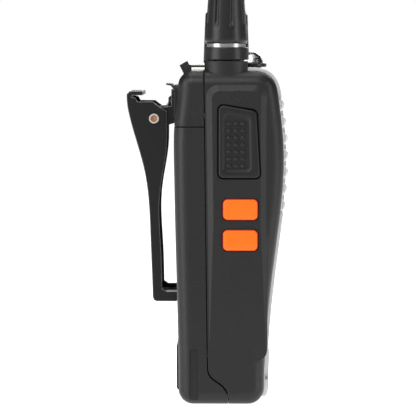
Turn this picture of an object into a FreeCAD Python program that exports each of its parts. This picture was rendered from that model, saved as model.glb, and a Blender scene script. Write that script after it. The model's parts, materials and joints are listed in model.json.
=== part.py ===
"""Handheld two-way radio with a removable battery, a screw-on antenna and a sprung belt clip.

Frame, in millimetres: +Z is up, -Y is the front with the speaker, +Y is the back with the belt
clip, -X is the side with the talk key and +X the side with the headset sockets.
The origin is on the base that the radio stands on, under the antenna's axis in Y and midway in X.
One function makes each sub-part, and build() writes every one to parts/NODE.step.
"""

import FreeCAD, Part
import math
import os
from FreeCAD import Vector

# ---------------------------------------------------------------- driving dimensions
# The case as a whole
body_width = 57.0
body_height = 97.2
front_belly_y = -16.7      # the fullest point of the front
back_belly_y = 15.2        # the fullest point of the back
edge_round = 4.0           # round along the edges of both side faces
foot_round = 4.8           # round of the front foot edge, seen from the side
heel_round = 4.3           # round of the rear foot edge, seen from the side
wall = 2.0
far = 60.0                 # beyond the case on every side, for cutting regions
seam_gap = 0.3             # gap between the case's pieces where they meet
fit_gap = 0.02             # a close fit between two fixed pieces
part_gap = 0.2             # clearance between two fixed pieces that lie side by side
moving_gap = 0.35          # clearance round a piece that moves
seam_top_y = 6.4           # the seam between front and rear, at the top
seam_foot_y = 5.4          # the same seam, where it turns forward above the foot
seam_foot_z = 12.2
foot_front_y = -0.7        # where the seam reaches the base
rear_block_height = 15.9   # the fixed block above the battery

# The raised side panels
panel_rise = 0.8
panel_ramp = 2.1
panel_seam_gap = 0.2       # between the seam and the ramp's outline inside the wall
panel_root = 0.2           # how deep in the wall the ramp starts
panel_top_drop = 3.6       # from the top of the case down to the panel
panel_foot_z = 13.0        # the panel has sunk into the side face here
panel_front_y = -12.0

# The talk key and the two small keys on the -X side
key_gap = 0.35
key_proud = 0.7            # how far the keys stand out of the panel
key_flange = 0.9
key_flange_lip = 0.5
membrane_sheet = 0.5
talk_travel = 1.0
talk_rear_y = 2.2
talk_front_y = -9.3
talk_top_drop = 9.5        # from the top of the case to the key's top edge
talk_height = 21.2
talk_slope = 1.9           # how much lower the key's front top corner is
talk_corner = 1.4
small_width = 9.9
small_height = 5.9
small_corner = 1.3
small_centre_y = -4.1
small_drops = (39.75, 48.65)   # from the top of the case to each key's centre
stem_radius = 1.3
stem_length = 1.8
key_edge_round = 0.7
membrane_gap = 0.1         # between a key's stem and the membrane
membrane_rear = 4.8        # membrane and board, behind and ahead of the keys' middle
membrane_front = 5.0
dome_radius = 2.2
dome_height = 0.35
side_board_sheet = 1.0
switch_side = 4.6
switch_depth = 1.6
plunger_radius = 0.9
plunger_height = 0.3

# The front trim, its ribs and panels
trim_proud = 0.9
trim_sunk = 0.8
trim_top_half = 24.0
trim_foot_half = 21.5
trim_foot_z = 1.6
trim_reach_y = -5.0        # how far the trim runs back over the top
rib_count = 7
rib_pitch = 4.83
rib_top_drop = 10.0        # from the top of the case to the first rib's centre
rib_height = 1.35
rib_span = 3.7
rib_inner_half = 19.0
grille_half = 16.0
grille_top_drop = 11.0
grille_height = 34.0
grille_corner = 5.0
slot_count = 8
slot_pitch = 3.4
slot_height = 1.7
slot_half_mid = 13.0
lower_half = 15.0
lower_top_drop = 54.0
lower_foot_z = 19.0
lower_corner = 3.5
badge_half = 9.0
badge_height = 4.6
badge_proud = 0.15
badge_thickness = 0.6
chin_top_z = 15.6
chin_proud = 1.35
chin_slot_height = 3.8
chin_slot_z = 8.4
mic_hole_radius = 0.8
mic_x = 9.0
mic_z = 25.0

# The antenna and its socket
antenna_x = -20.5
boss_radius = 7.2
boss_height = 2.8          # above the top of the case
boss_clearance = 0.3       # round the antenna's insert, inside the boss
thread_radius = 3.17
thread_clearance = 0.05
thread_pitch = 0.7056
thread_turns = 5
insert_wall = 1.18         # of the antenna's insert, outside its thread
insert_reach = 6.0         # how far the insert goes up into the rubber
insert_gap = 0.05          # between the insert's end and the core
core_radius = 1.1
antenna_seat_gap = 0.3     # under the collar when it is screwed right down
collar_height = 3.95
collar_radius = 6.55
groove_height = 1.1
groove_radius = 5.7
sleeve_radius = 6.3
antenna_height = 235.0
whip_radius = 3.7
flute_count = 8
flute_phase = 0.35         # where the first flute stands, as a share of the step between flutes
flute_radius = 0.62
flute_start = 5.7          # above the sleeve's lower end
flute_length = 34.0

# The two knobs on top
knob_radius = 7.0
knob_top_radius = 6.35
knob_height = 16.2
knob_lift = 1.4            # gap under the knob's skirt
knob_skirt = 1.5
knob_groove_count = 18
knob_groove_radius = 0.75
knob_groove_depth = 0.3
channel_x = 4.0
volume_x = 20.0
shaft_radius = 3.0
shaft_clearance = 0.06
shaft_flat = 0.8           # depth of the flat that drives the knob
bushing_wall = 0.54
nut_rim = 1.4              # nut beyond the bushing, to its corners
nut_height = 1.0
pot_side = 9.2
pot_height = 9.5

# The torch lamp on top
torch_x = -6.4
torch_y = -7.6
torch_dome = 3.3
torch_ring_radius = 4.4
torch_ring_height = 1.2
torch_neck = 2.7

# The bar for a wrist strap
lanyard_radius = 0.7

# The belt clip
clip_width = 20.0
clip_sheet = 1.2
clip_pin_y = 21.5
clip_pin_drop = 14.3       # from the top of the case to the pin's axis
clip_pin_radius = 1.2
clip_pin_clearance = 0.05
clip_pin_lip = 0.25        # head beyond the pin
clip_pin_recess = 0.4      # rim round the hollow in each head
clip_ear_gap = 0.3
bracket_sheet = 1.0
bracket_width = 17.0
bracket_height = 11.0
bracket_ear_round = 3.2
clip_rest_gap = 0.4        # between the clip's foot and the battery
clip_foot_rise = 13.1      # from the latch up to the clip's foot
spring_wire = 0.45         # radius of the wire
spring_play = 0.65         # between the pin and the coil
spring_turns = 5
clip_screw_radius = 1.25
clip_screw_rim = 0.85      # screw head beyond its thread
clip_screw_x = 5.2

# The battery
battery_wall = 1.4
battery_top_gap = 0.3
label_half = 11.2          # half width of the sunk label field in the battery's back
label_plane_y = 14.1
label_thickness = 0.25
label_foot_z = 19.0
latch_half = 9.0
latch_height = 14.0
latch_foot_z = 1.0
latch_proud = 1.0
latch_depth = 2.3
latch_rail = 0.9           # the rails along both sides, which hold the latch in
latch_travel = 2.5
hook_width = 7.0
hook_depth = 2.4
hook_height = 2.2
hook_x = 14.0
groove_rear_y = 10.6
groove_front_y = 8.0
groove_top_z = 16.8
groove_depth = 0.8
contact_x = 15.0
pad_half = 2.0             # half width of each charging contact
pad_foot_z = 6.0
pad_top_z = 13.0

# The headset sockets and their rubber cover on the +X side
jack_y = -3.8
jack_top_drop = 16.0
jack_pitch = 11.9
jack_large_radius = 1.8
jack_small_radius = 1.3
jack_sleeve = 0.7
jack_depth = 12.0
jack_block_depth = 6.4
cover_front_y = -9.0
cover_rear_y = 1.6
cover_margin = 6.0         # cover beyond the sockets' axes, up and down
cover_thickness = 1.6
cover_corner = 2.0
notch_radius = 2.4         # of the finger notch at the cover's foot
notch_depth = 0.7
notch_height = 2.4
strap_width = 3.0
strap_length = 3.2
strap_thickness = 0.8

# The inner parts
chassis_sheet = 1.5
chassis_y = 1.8
board_thickness = 1.4
board_y = 0.0
board_half = 18.6
speaker_radius = 17.5
speaker_depth = 6.0
speaker_seat = 3.0         # width of the ring that the speaker sits on
cup_wall = 1.0
magnet_radius = 8.5
gasket_thickness = 0.6
cloth_thickness = 0.3
cell_thickness = 5.2
screw_radius = 1.0
screw_head = 1.9
post_radius = 2.6          # of the housing's posts that take the frame screws
offset_samples = 26        # points on an outline that is moved in or out

# ---------------------------------------------------------------- places worked out from them
half_width = body_width / 2
battery_top_z = body_height - rear_block_height
panel_x = half_width + panel_rise
inner_x = half_width - wall
insert_radius = thread_radius + thread_clearance + insert_wall
boss_bore = insert_radius + boss_clearance
bushing_radius = shaft_radius + shaft_clearance + bushing_wall
nut_radius = bushing_radius + nut_rim
clip_pin_head = clip_pin_radius + clip_pin_lip
spring_coil = clip_pin_radius + spring_play + spring_wire   # radius of the coil's centre line
clip_screw_head = clip_screw_radius + clip_screw_rim
antenna_foot_z = body_height + boss_height
sleeve_foot_z = antenna_foot_z + collar_height + groove_height
insert_top_z = sleeve_foot_z + insert_reach
clip_pin_z = body_height - clip_pin_drop
clip_foot_z = latch_foot_z + latch_height + clip_foot_rise
clip_reach = clip_pin_z - clip_foot_z              # from the pin down to the clip's foot
plate_rear_y = seam_foot_y - seam_gap - part_gap   # rear face of the plate the battery lies on
plate_front_y = chassis_y + chassis_sheet + part_gap
talk_top_z = body_height - talk_top_drop
grille_top_z = body_height - grille_top_drop
grille_foot_z = grille_top_z - grille_height
grille_mid_z = (grille_top_z + grille_foot_z) / 2
lower_top_z = body_height - lower_top_drop
jack_top_z = body_height - jack_top_drop
jack_foot_z = jack_top_z - jack_pitch
cover_floor_x = panel_x - cover_thickness - moving_gap
cover_top_z = jack_top_z + cover_margin
key_flange_x = -(inner_x - moving_gap)             # outer face of the keys' flanges
key_stem_tip = key_flange_x + key_flange + stem_length
plunger_tip = key_stem_tip + talk_travel + membrane_sheet
side_board_x = plunger_tip + plunger_height + switch_depth
inner_left_x = key_flange_x + key_flange + talk_travel + moving_gap


# ---------------------------------------------------------------- small helpers
def box(x0, x1, y0, y1, z0, z1):
    """A block between two corners."""
    return Part.makeBox(x1 - x0, y1 - y0, z1 - z0, Vector(x0, y0, z0))


def rod(radius, start, end):
    """A round bar from one point to another."""
    a, b = Vector(*start), Vector(*end)
    return Part.makeCylinder(radius, (b - a).Length, a, b - a)


def tube(outer, inner, start, end):
    """A round bar with a hole along it."""
    return rod(outer, start, end).cut(rod(inner, start, end))


def line(a, b):
    return Part.LineSegment(a, b).toShape()


def arc(a, middle, b):
    return Part.Arc(a, middle, b).toShape()


def slopes(points, gaps, first, last):
    """The direction of travel at each point of a smooth curve (a clamped cubic spline)."""
    found = [Vector(first).normalize()]
    weights = [0.0]
    for i in range(1, len(points) - 1):
        before, after = gaps[i - 1], gaps[i]
        pull = (points[i] - points[i - 1]) * (3 / before**2)
        pull += (points[i + 1] - points[i]) * (3 / after**2)
        share = 2 / before + 2 / after - weights[-1] / before
        found.append((pull - found[-1] * (1 / before)) * (1 / share))
        weights.append(1 / after / share)
    found.append(Vector(last).normalize())
    for i in range(len(points) - 2, 0, -1):
        found[i] = found[i] - found[i + 1] * weights[i]
    return found


def curve(points, first, last):
    """A smooth curve through the points, with its directions at both ends."""
    gaps = [(b - a).Length for a, b in zip(points, points[1:])]
    travel = slopes(points, gaps, first, last)
    poles = [points[0]]
    knots = [0.0]
    for i, gap in enumerate(gaps):
        poles.append(points[i] + travel[i] * (gap / 3))
        poles.append(points[i + 1] - travel[i + 1] * (gap / 3))
        knots.append(knots[-1] + gap)
    poles.append(points[-1])
    counts = [4] + [2] * (len(points) - 2) + [4]
    spline = Part.BSplineCurve()
    spline.buildFromPolesMultsKnots(poles, counts, knots, False, 3)
    return spline.toShape()


def side(y, z, x=0.0):
    """A point of an outline that is seen from the side."""
    return Vector(x, y, z)


def slab_x(wire, x0, x1):
    """A closed outline in the YZ plane, stretched from x0 to x1."""
    moved = wire.copy()
    moved.translate(Vector(x0, 0, 0))
    return Part.Face(moved).extrude(Vector(x1 - x0, 0, 0))


def polygon_x(points, x0, x1):
    """A straight-sided outline of (y, z) points, stretched from x0 to x1."""
    corners = [side(y, z) for y, z in points]
    return slab_x(Part.makePolygon(corners + corners[:1]), x0, x1)


def polygon_y(points, y0, y1):
    """A straight-sided outline of (x, z) points, stretched from y0 to y1."""
    corners = [Vector(x, y0, z) for x, z in points]
    face = Part.Face(Part.makePolygon(corners + corners[:1]))
    return face.extrude(Vector(0, y1 - y0, 0))


def rounded_edges(shape, radius, wanted):
    """The shape with a round on each edge that the test picks."""
    picked = [edge for edge in shape.Edges if wanted(edge)]
    return shape.makeFillet(radius, picked) if picked else shape


def along(axis):
    """A test for straight edges that run along an axis."""
    return lambda edge: (
        isinstance(edge.Curve, (Part.Line, Part.LineSegment))
        and abs(edge.tangentAt(edge.FirstParameter).dot(axis)) > 0.99
    )


AXIS_X, AXIS_Y, AXIS_Z = Vector(1, 0, 0), Vector(0, 1, 0), Vector(0, 0, 1)
UP, DOWN, FORWARD = AXIS_Z, -AXIS_Z, -AXIS_Y


def outline_at_x(points, radius, x):
    """A closed outline of (y, z) corners with every corner rounded, in the plane at x."""
    corners = [side(y, z, x) for y, z in points]
    edges, ends = [], []
    count = len(corners)
    for i, corner in enumerate(corners):
        before = (corners[i - 1] - corner).normalize()
        after = (corners[(i + 1) % count] - corner).normalize()
        half_angle = before.getAngle(after) / 2
        reach = radius / math.tan(half_angle)
        middle_way = (before + after).normalize()
        centre = corner + middle_way * (radius / math.sin(half_angle))
        a, b = corner + before * reach, corner + after * reach
        ends.append((a, centre - middle_way * radius, b))
    for i, (a, middle, b) in enumerate(ends):
        edges.append(arc(a, middle, b))
        edges.append(line(b, ends[(i + 1) % count][0]))
    return Part.Wire(edges)


def rounded_slab_x(points, radius, x0, x1):
    wire = outline_at_x(points, radius, x0)
    return Part.Face(wire).extrude(Vector(x1 - x0, 0, 0))


def rounded_plate_y(half, z0, z1, radius, y0, y1, x_mid=0.0):
    """A plate that faces the front, with rounded corners."""
    plate = box(x_mid - half, x_mid + half, y0, y1, z0, z1)
    return rounded_edges(plate, radius, along(AXIS_Y))


def group(shapes):
    """Several separate solids in one node."""
    return Part.makeCompound([solid for shape in shapes for solid in shape.Solids])


def mirrored(shape):
    """The shape's twin on the other side of the radio."""
    return shape.mirror(Vector(0, 0, 0), AXIS_X)


# ---------------------------------------------------------------- the envelope of the case
def front_points():
    """The front of the case from the top down, seen from the side."""
    belly = front_belly_y
    top = body_height
    return [
        side(belly + 8.2, top),
        side(belly + 3.7, top - 1.85),
        side(belly + 1.5, top - 8.2),
        side(belly, top - 25.2),
        side(belly + 2.0, top - 49.2),
        side(belly + 4.5, top - 71.0),
        side(belly + 5.5, foot_round),
    ]


def back_points():
    """The back of the case from the base up."""
    belly = back_belly_y
    return [
        side(belly - 1.35, heel_round),
        side(belly - 0.75, battery_top_z * 0.47),
        side(belly - 0.05, battery_top_z - 9.0),
        side(belly - 0.35, battery_top_z + 2.0),
        side(belly - 1.3, body_height - heel_round),
    ]


def moved_out(points, first, last, distance):
    """Points along the smooth curve through these points, each moved out of the case."""
    if distance == 0:
        return points
    edge = curve(points, first, last)
    moved = []
    for i in range(offset_samples + 1):
        share = i / offset_samples
        at = edge.FirstParameter + (edge.LastParameter - edge.FirstParameter) * share
        way = edge.tangentAt(at)
        moved.append(edge.valueAt(at) + Vector(0, way.z, -way.y) * distance)
    return moved



def corner_arc(centre_y, centre_z, radius, angle):
    """A quarter turn of the outline; angle is where it starts, in degrees from +Y towards +Z."""
    points = []
    for turn in (0, 45, 90):
        way = math.radians(angle + turn)
        points.append(side(centre_y + radius * math.cos(way), centre_z + radius * math.sin(way)))
    return points


def case_outline(distance=0.0):
    """The outline of the case seen from the side, moved outwards (or inwards when negative)."""
    front = moved_out(front_points(), FORWARD, DOWN, distance)
    back = moved_out(back_points(), UP, UP, distance)
    foot_radius, heel_radius = foot_round + distance, heel_round + distance
    foot = corner_arc(front_points()[-1].y + foot_round, foot_round, foot_radius, 180)
    heel = corner_arc(back_points()[0].y - heel_round, heel_round, heel_radius, 270)
    top_z = body_height - heel_round
    shoulder = corner_arc(back_points()[-1].y - heel_round, top_z, heel_radius, 0)
    return Part.Wire(
        [
            curve(front, FORWARD, DOWN),
            arc(*foot),
            line(foot[-1], heel[0]),
            arc(*heel),
            curve(back, UP, UP),
            arc(*shoulder),
            line(shoulder[-1], front[0]),
        ]
    )


def envelope(inset=0.0):
    """The case as one rounded block, or a skin inside it; a skin has tighter rounds."""
    reach = half_width - inset
    block = slab_x(case_outline(-inset), -reach, reach)
    round_radius = (edge_round - inset) * 0.8 if inset else edge_round
    return rounded_edges(
        block,
        round_radius,
        lambda edge: abs(abs(edge.CenterOfMass.x) - reach) < 1e-6,
    )


def seam_wire(shift, far_y):
    """The region behind the seam (far_y above zero) or in front of it, as a closed outline.

    shift moves the seam back by that much.
    """
    low, high = -5.0, body_height + 15.0
    foot = [
        side(foot_front_y + shift, low),
        side(foot_front_y + shift, 1.2),
        side(foot_front_y + 0.55 + shift, 4.2),
        side(foot_front_y + 2.9 + shift, 6.75),
        side(seam_foot_y - 0.6 + shift, 9.0),
        side(seam_foot_y + shift, seam_foot_z),
    ]
    s_bend = curve(foot[1:], side(0, 1), side(0, 1))
    top = side(seam_top_y + shift, body_height)
    above = side(seam_top_y + shift, high)
    far_high, far_low = side(far_y, high), side(far_y, low)
    return Part.Wire(
        [
            line(foot[0], foot[1]),
            s_bend,
            line(foot[-1], top),
            line(top, above),
            line(above, far_high),
            line(far_high, far_low),
            line(far_low, foot[0]),
        ]
    )


def behind_seam(shift):
    """Everything behind the seam, with the seam moved back and down by the shift."""
    region = slab_x(seam_wire(shift, far), -far, far)
    region.translate(Vector(0, 0, -shift))
    return region


def before_seam(shift):
    region = slab_x(seam_wire(shift, -far), -far, far)
    region.translate(Vector(0, 0, -shift))
    return region


# ---------------------------------------------------------------- outlines of the keys
def talk_outline(grow):
    """The talk key's corners; its top edge slopes down towards the front."""
    foot = talk_top_z - talk_height - grow
    return [
        (talk_rear_y + grow, talk_top_z + grow),
        (talk_rear_y + grow, foot),
        (talk_front_y - 0.5 - grow, foot),
        (talk_front_y + 0.6 - grow, talk_top_z - talk_slope + grow),
    ]


def talk_slab(grow, x0, x1):
    """The talk key's shape, grown by a margin on every side."""
    return rounded_slab_x(talk_outline(grow), talk_corner + grow, x0, x1)


def small_key_z(index):
    return body_height - small_drops[index]


def small_slab(index, grow, x0, x1):
    z = small_key_z(index)
    y_half, z_half = small_width / 2 + grow, small_height / 2 + grow
    corners = [
        (small_centre_y + y_half, z + z_half),
        (small_centre_y + y_half, z - z_half),
        (small_centre_y - y_half, z - z_half),
        (small_centre_y - y_half, z + z_half),
    ]
    return rounded_slab_x(corners, small_corner + grow, x0, x1)


def cover_slab(grow, x0, x1):
    """The outline of the headset cover."""
    corners = [
        (cover_rear_y + grow, jack_top_z + cover_margin + grow),
        (cover_rear_y + grow, jack_foot_z - cover_margin - grow),
        (cover_front_y - grow, jack_foot_z - cover_margin - grow),
        (cover_front_y - grow, jack_top_z + cover_margin + grow),
    ]
    return rounded_slab_x(corners, cover_corner + grow, x0, x1)


# ---------------------------------------------------------------- the case
def side_panel():
    """The raised panel on the -X side, whose face sinks into the case towards the foot."""
    def corners(inset):
        rear_top = seam_top_y - panel_seam_gap - inset
        rear_foot = seam_foot_y - panel_seam_gap - inset
        return [
            (rear_top, body_height - panel_top_drop - inset),
            (rear_foot, panel_foot_z),
            (panel_front_y + inset, panel_foot_z),
            (panel_front_y + inset, body_height - panel_top_drop - inset),
        ]

    base = outline_at_x(corners(0.0), 3.6, -(half_width - panel_root))
    face = outline_at_x(corners(panel_ramp), 2.4, -panel_x)
    raised = Part.makeLoft([base, face], True, True)
    lean = polygon_xz(
        [
            (-panel_x, body_height),
            (0, body_height),
            (0, panel_foot_z - 2),
            (-(half_width - 0.05), panel_foot_z - 2),
            (-(half_width - 0.05), panel_foot_z + 1.0),
            (-panel_x, body_height * 0.55),
        ]
    )
    return raised.common(lean)


def polygon_xz(points):
    return polygon_y(points, -far, far)


def trim_region(outward, inward, margin):
    """The band that the front trim fills: outward of the case's face and sunk into it."""
    half_top, half_foot = trim_top_half + margin, trim_foot_half + margin
    foot = trim_foot_z - margin
    front_view = polygon_xz(
        [
            (-half_foot, foot),
            (half_foot, foot),
            (half_top, body_height * 0.55),
            (half_top, body_height + 5),
            (-half_top, body_height + 5),
            (-half_top, body_height * 0.55),
        ]
    )
    shell = slab_x(case_outline(outward), -half_top, half_top).cut(
        slab_x(case_outline(-inward), -far, far)
    )
    ahead = box(-far, far, -far, trim_reach_y + margin, foot, body_height + 5)
    return shell.common(front_view).common(ahead)


def front_housing():
    """The front shell: a moulded tub, open at the back, with windows for keys and sockets."""
    outer = envelope()
    panel = side_panel()
    boss = rod(
        boss_radius,
        (antenna_x, 0, body_height - 4.5),
        (antenna_x, 0, antenna_foot_z),
    )
    shell = outer.fuse([panel, mirrored(panel), boss]).removeSplitter()
    hollow = envelope(wall)
    shell = shell.cut(hollow).common(before_seam(-seam_gap / 2))
    shell = shell.cut(trim_region(trim_proud + 3, trim_sunk, part_gap / 2))
    reach = panel_x + 1
    shell = shell.cut(talk_slab(key_gap, -reach, -inner_x + 1))
    for index in range(len(small_drops)):
        shell = shell.cut(small_slab(index, key_gap, -reach, -inner_x + 1))
    shell = shell.cut(cover_slab(moving_gap, cover_floor_x, reach)).cut(strap_slot())
    for z, radius in ((jack_top_z, jack_large_radius), (jack_foot_z, jack_small_radius)):
        hole = radius + jack_sleeve + part_gap
        shell = shell.cut(rod(hole, (inner_x - 1, jack_y, z), (reach, jack_y, z)))
    # holes in the top for the antenna socket, the controls and the torch
    top, below = antenna_foot_z + 1, body_height - wall - 3
    shell = shell.cut(rod(boss_bore, (antenna_x, 0, below), (antenna_x, 0, top)))
    for x in (channel_x, volume_x):
        hole = bushing_radius + part_gap
        shell = shell.cut(rod(hole, (x, 0, below), (x, 0, top)))
    neck = torch_neck + part_gap
    shell = shell.cut(rod(neck, (torch_x, torch_y, below - 6), (torch_x, torch_y, top)))
    # the speaker's slots, the microphone and the indicator
    speaker_hole = speaker_radius - speaker_seat
    shell = shell.cut(rod(speaker_hole, (0, -30, grille_mid_z), (0, -8, grille_mid_z)))
    mic_port = rod(mic_hole_radius + 0.5, (mic_x, -30, mic_z), (mic_x, -5, mic_z))
    shell = shell.cut(mic_port)
    shell = shell.cut(status_hole(part_gap))
    pin_start, pin_end = lanyard_pin_ends()
    shell = shell.cut(rod(lanyard_radius + fit_gap, pin_start, pin_end))
    # the speaker's cup, and four posts for the screws that hold the rear frame
    seat_y = speaker_front_y() - gasket_thickness - fit_gap
    seat = tube(
        speaker_radius, speaker_hole, (0, -30, grille_mid_z), (0, seat_y, grille_mid_z)
    )
    cup = tube(
        speaker_radius + part_gap + cup_wall,
        speaker_radius + part_gap,
        (0, -30, grille_mid_z),
        (0, seat_y + gasket_thickness + 1.0, grille_mid_z),
    )
    inner_skin = envelope(wall - 0.4)
    posts = [seat.fuse(cup).common(inner_skin)]
    for x, z in frame_screw_places():
        post = rod(post_radius, (x, -30, z), (x, plate_front_y - part_gap, z))
        posts.append(post.common(inner_skin))
    shell = shell.fuse(posts)
    for x, z in frame_screw_places():
        shell = shell.cut(rod(screw_radius, (x, -7, z), (x, 20, z)))
    return shell.removeSplitter()


def frame_screw_places():
    high = side_board_span()[0] - 5.5
    low = seam_foot_z + screw_head + 0.6
    near = inner_x - 3.4
    return [(-near, low), (near, low), (-near, high), (near, high)]


def status_place():
    return (13.0, grille_top_z + 2.6)


def status_hole(margin):
    x, z = status_place()
    return rod(1.1 + margin, (x, -30, z), (x, -9, z))


def rear_frame():
    """The rear frame: the fixed block over the battery and the plate that the battery lies on."""
    block = envelope().common(behind_seam(seam_gap / 2))
    block = block.common(box(-far, far, -far, far, battery_top_z, body_height + 5))
    hollow = envelope(wall).common(behind_seam(-20))
    hollow = hollow.common(
        box(-far, far, -far, back_belly_y - 3.6, battery_top_z + wall, body_height)
    )
    block = block.cut(hollow)
    pad_top = battery_top_z + bracket_height + 0.6
    pad = box(
        -bracket_width / 2 - 1,
        bracket_width / 2 + 1,
        back_belly_y - 3.0,
        back_belly_y + 0.15,
        battery_top_z,
        pad_top,
    )
    pad = rounded_edges(pad, 1.0, along(AXIS_Y))
    block = block.fuse(pad)
    plate = box(
        -inner_x + part_gap,
        inner_x - part_gap,
        plate_front_y,
        plate_rear_y,
        seam_foot_z,
        battery_top_z + wall,
    )
    plate = plate.common(box(-far, far, -far, far, 0, body_height - wall - part_gap))
    shelf = box(
        inner_left_x,
        inner_x - part_gap,
        plate_front_y,
        seam_top_y + 1.0,
        battery_top_z,
        battery_top_z + wall,
    )
    lug = lanyard_lug()
    talk_notch = box(
        -far, inner_left_x, -far, plate_rear_y + 0.5, talk_top_z - talk_height - 2.0, talk_top_z + 2.0
    )
    frame = block.fuse([plate.cut(talk_notch), shelf, lug])
    for x in (-hook_x, hook_x):
        frame = frame.cut(hook_block(x, moving_gap))
    for x, z in frame_screw_places():
        frame = frame.cut(rod(screw_radius + 0.15, (x, -30, z), (x, 20, z)))
        frame = frame.cut(
            rod(screw_head + part_gap, (x, plate_rear_y - 0.7, z), (x, 20, z)).common(
                box(-far, far, 0, plate_rear_y + 0.5, 0, battery_top_z)
            )
        )
    for x in (-clip_screw_x, clip_screw_x):
        z = clip_screw_z()
        frame = frame.cut(
            rod(clip_screw_radius, (x, back_belly_y - 3.0, z), (x, 40, z))
        )
    for x in terminal_places():
        slot = box(x - 1.6, x + 1.6, 0, 20, 22.0, 30.0)
        frame = frame.cut(slot)
    pin_start, pin_end = lanyard_pin_ends()
    return frame.cut(rod(lanyard_radius + fit_gap, pin_start, pin_end)).removeSplitter()


def terminal_places():
    return (-7.5, -2.5, 2.5, 7.5)


def lanyard_pin_ends():
    """The wrist strap's bar runs from the rear lug forward into the antenna boss."""
    z = body_height + 1.7
    return (antenna_x, boss_radius - 1.2, z), (antenna_x, 12.4, z)


def lanyard_lug():
    """A small lug on the top rear edge that holds the strap's bar."""
    y, z = 11.2, body_height
    points = [(y - 1.3, z - 3), (y - 1.0, z + 1.2), (y + 0.2, z + 2.8)]
    points += [(y + 2.3, z + 1.6), (y + 1.2, z - 0.6), (y + 0.9, z - 3)]
    return polygon_x(points, antenna_x - 3.2, antenna_x + 3.2)


def lanyard_pin():
    """The bar that a wrist strap loops round."""
    pin_start, pin_end = lanyard_pin_ends()
    return rod(lanyard_radius, pin_start, pin_end)


def housing_seal():
    """The rubber cord that seals the front housing to the rear frame."""
    ring = envelope(wall + 0.3).cut(
        envelope(wall + 1.3)
    )
    band = behind_seam(-seam_gap / 2 - 1.2).common(before_seam(-seam_gap / 2 - 0.2))
    ring = ring.common(band)
    return ring.common(box(-far, far, -far, far, battery_top_z + wall + 0.5, body_height))


# ---------------------------------------------------------------- the front
def rib_places():
    first = body_height - rib_top_drop
    return [first - i * rib_pitch for i in range(rib_count)]


def front_face_y(z):
    """Where the case's front face is, at a height."""
    probe = Part.makeLine(side(-far, z), side(0, z))
    edge = curve(front_points(), side(-1, 0), side(0, -1))
    return edge.distToShape(probe)[1][0][0].y


def front_trim():
    """The trim round the front: a smooth frame with a row of ribs down each side."""
    trim = trim_region(trim_proud, trim_sunk, 0.0)
    trim = trim.cut(
        rounded_plate_y(
            grille_half, grille_foot_z, grille_top_z, grille_corner, -far, 0
        )
    )
    trim = trim.cut(
        rounded_plate_y(lower_half, lower_foot_z, lower_top_z, lower_corner, -far, 0)
    )
    ribs_top = rib_places()[0] + rib_pitch / 2
    ribs_foot = rib_places()[-1] - rib_pitch / 2
    strip = trim_region(trim_proud + 2, -0.1, 1.0)
    strip = strip.common(box(rib_inner_half, far, -far, 0, ribs_foot, ribs_top))
    trim = trim.cut(strip).cut(mirrored(strip))
    humps = []
    radius = (rib_span**2 / 4 + rib_height**2) / (2 * rib_height)
    for z in rib_places():
        y = front_face_y(z) - rib_height + radius
        hump = rod(radius, (rib_inner_half + 0.2, y, z), (trim_top_half - 0.1, y, z))
        hump = rounded_edges(hump, 0.6, lambda edge: edge.Closed)
        hump = hump.common(box(0, far, -far, front_face_y(z) + 0.5, z - 3, z + 3))
        humps += [hump, mirrored(hump)]
    chin = trim_region(chin_proud, trim_sunk, 0.0).common(
        box(-far, far, -far, 0, 0, chin_top_z)
    )
    chin = chin.common(box(-trim_foot_half, trim_foot_half, -far, far, 0, far))
    trim = trim.fuse(humps + [chin])
    half = chin_slot_height / 2
    for a, b in ((-far, -trim_foot_half + 3.5), (trim_foot_half - 3.5, far)):
        trim = trim.cut(
            box(a, b, -far, front_face_y(chin_slot_z) - 0.25, chin_slot_z - half, chin_slot_z + half)
        )
    neck = torch_neck + part_gap
    trim = trim.cut(
        rod(neck, (torch_x, torch_y, 80), (torch_x, torch_y, body_height + 9))
    )
    trim = trim.cut(status_hole(part_gap))
    x0, z0, z1 = badge_half + part_gap, badge_foot_z() - part_gap, badge_foot_z() + badge_height
    badge_pocket = box(-x0, x0, -far, front_face_y(z0) - trim_proud + 0.5, z0, z1 + part_gap)
    trim = trim.cut(badge_pocket)
    return trim.removeSplitter()


def badge_foot_z():
    return (grille_foot_z + lower_top_z) / 2 - badge_height / 2


def badge():
    """A plain badge with no mark on it, set in the trim between the two panels."""
    z0 = badge_foot_z()
    front = front_face_y(z0) - trim_proud - badge_proud
    z1 = z0 + badge_height
    plate = box(-badge_half, badge_half, front, front + badge_thickness, z0, z1)
    return rounded_edges(plate, 0.6, along(AXIS_Y))


def panel_insert(half, z0, z1, corner, proud):
    """A panel that fills a window of the trim and follows the case's face."""
    skin = slab_x(case_outline(proud), -half - 1, half + 1)
    face = skin.cut(slab_x(case_outline(-trim_sunk + 0.1), -far, far))
    return face.common(rounded_plate_y(half, z0, z1, corner, -far, 0))


def grille_panel():
    """The speaker grille: a panel with slots that get shorter towards its ends."""
    panel = panel_insert(
        grille_half - part_gap,
        grille_foot_z + part_gap,
        grille_top_z - part_gap,
        grille_corner - part_gap,
        trim_proud - 0.45,
    )
    middle = (slot_count - 1) / 2
    for i in range(slot_count):
        offset = (i - middle) * slot_pitch
        half = slot_half_mid * math.sqrt(1 - (offset / (slot_pitch * slot_count * 0.66)) ** 2)
        z = grille_mid_z + offset
        slot = box(-half, half, -far, 0, z - slot_height / 2, z + slot_height / 2)
        slot = rounded_edges(slot, slot_height / 2 - 0.05, along(AXIS_Y))
        panel = panel.cut(slot)
    return panel


def lower_panel():
    """The plain panel below, with the microphone's hole."""
    panel = panel_insert(
        lower_half - part_gap,
        lower_foot_z + part_gap,
        lower_top_z - part_gap,
        lower_corner - part_gap,
        trim_proud - 0.45,
    )
    return panel.cut(rod(mic_hole_radius, (mic_x, -30, mic_z), (mic_x, 0, mic_z)))


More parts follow.
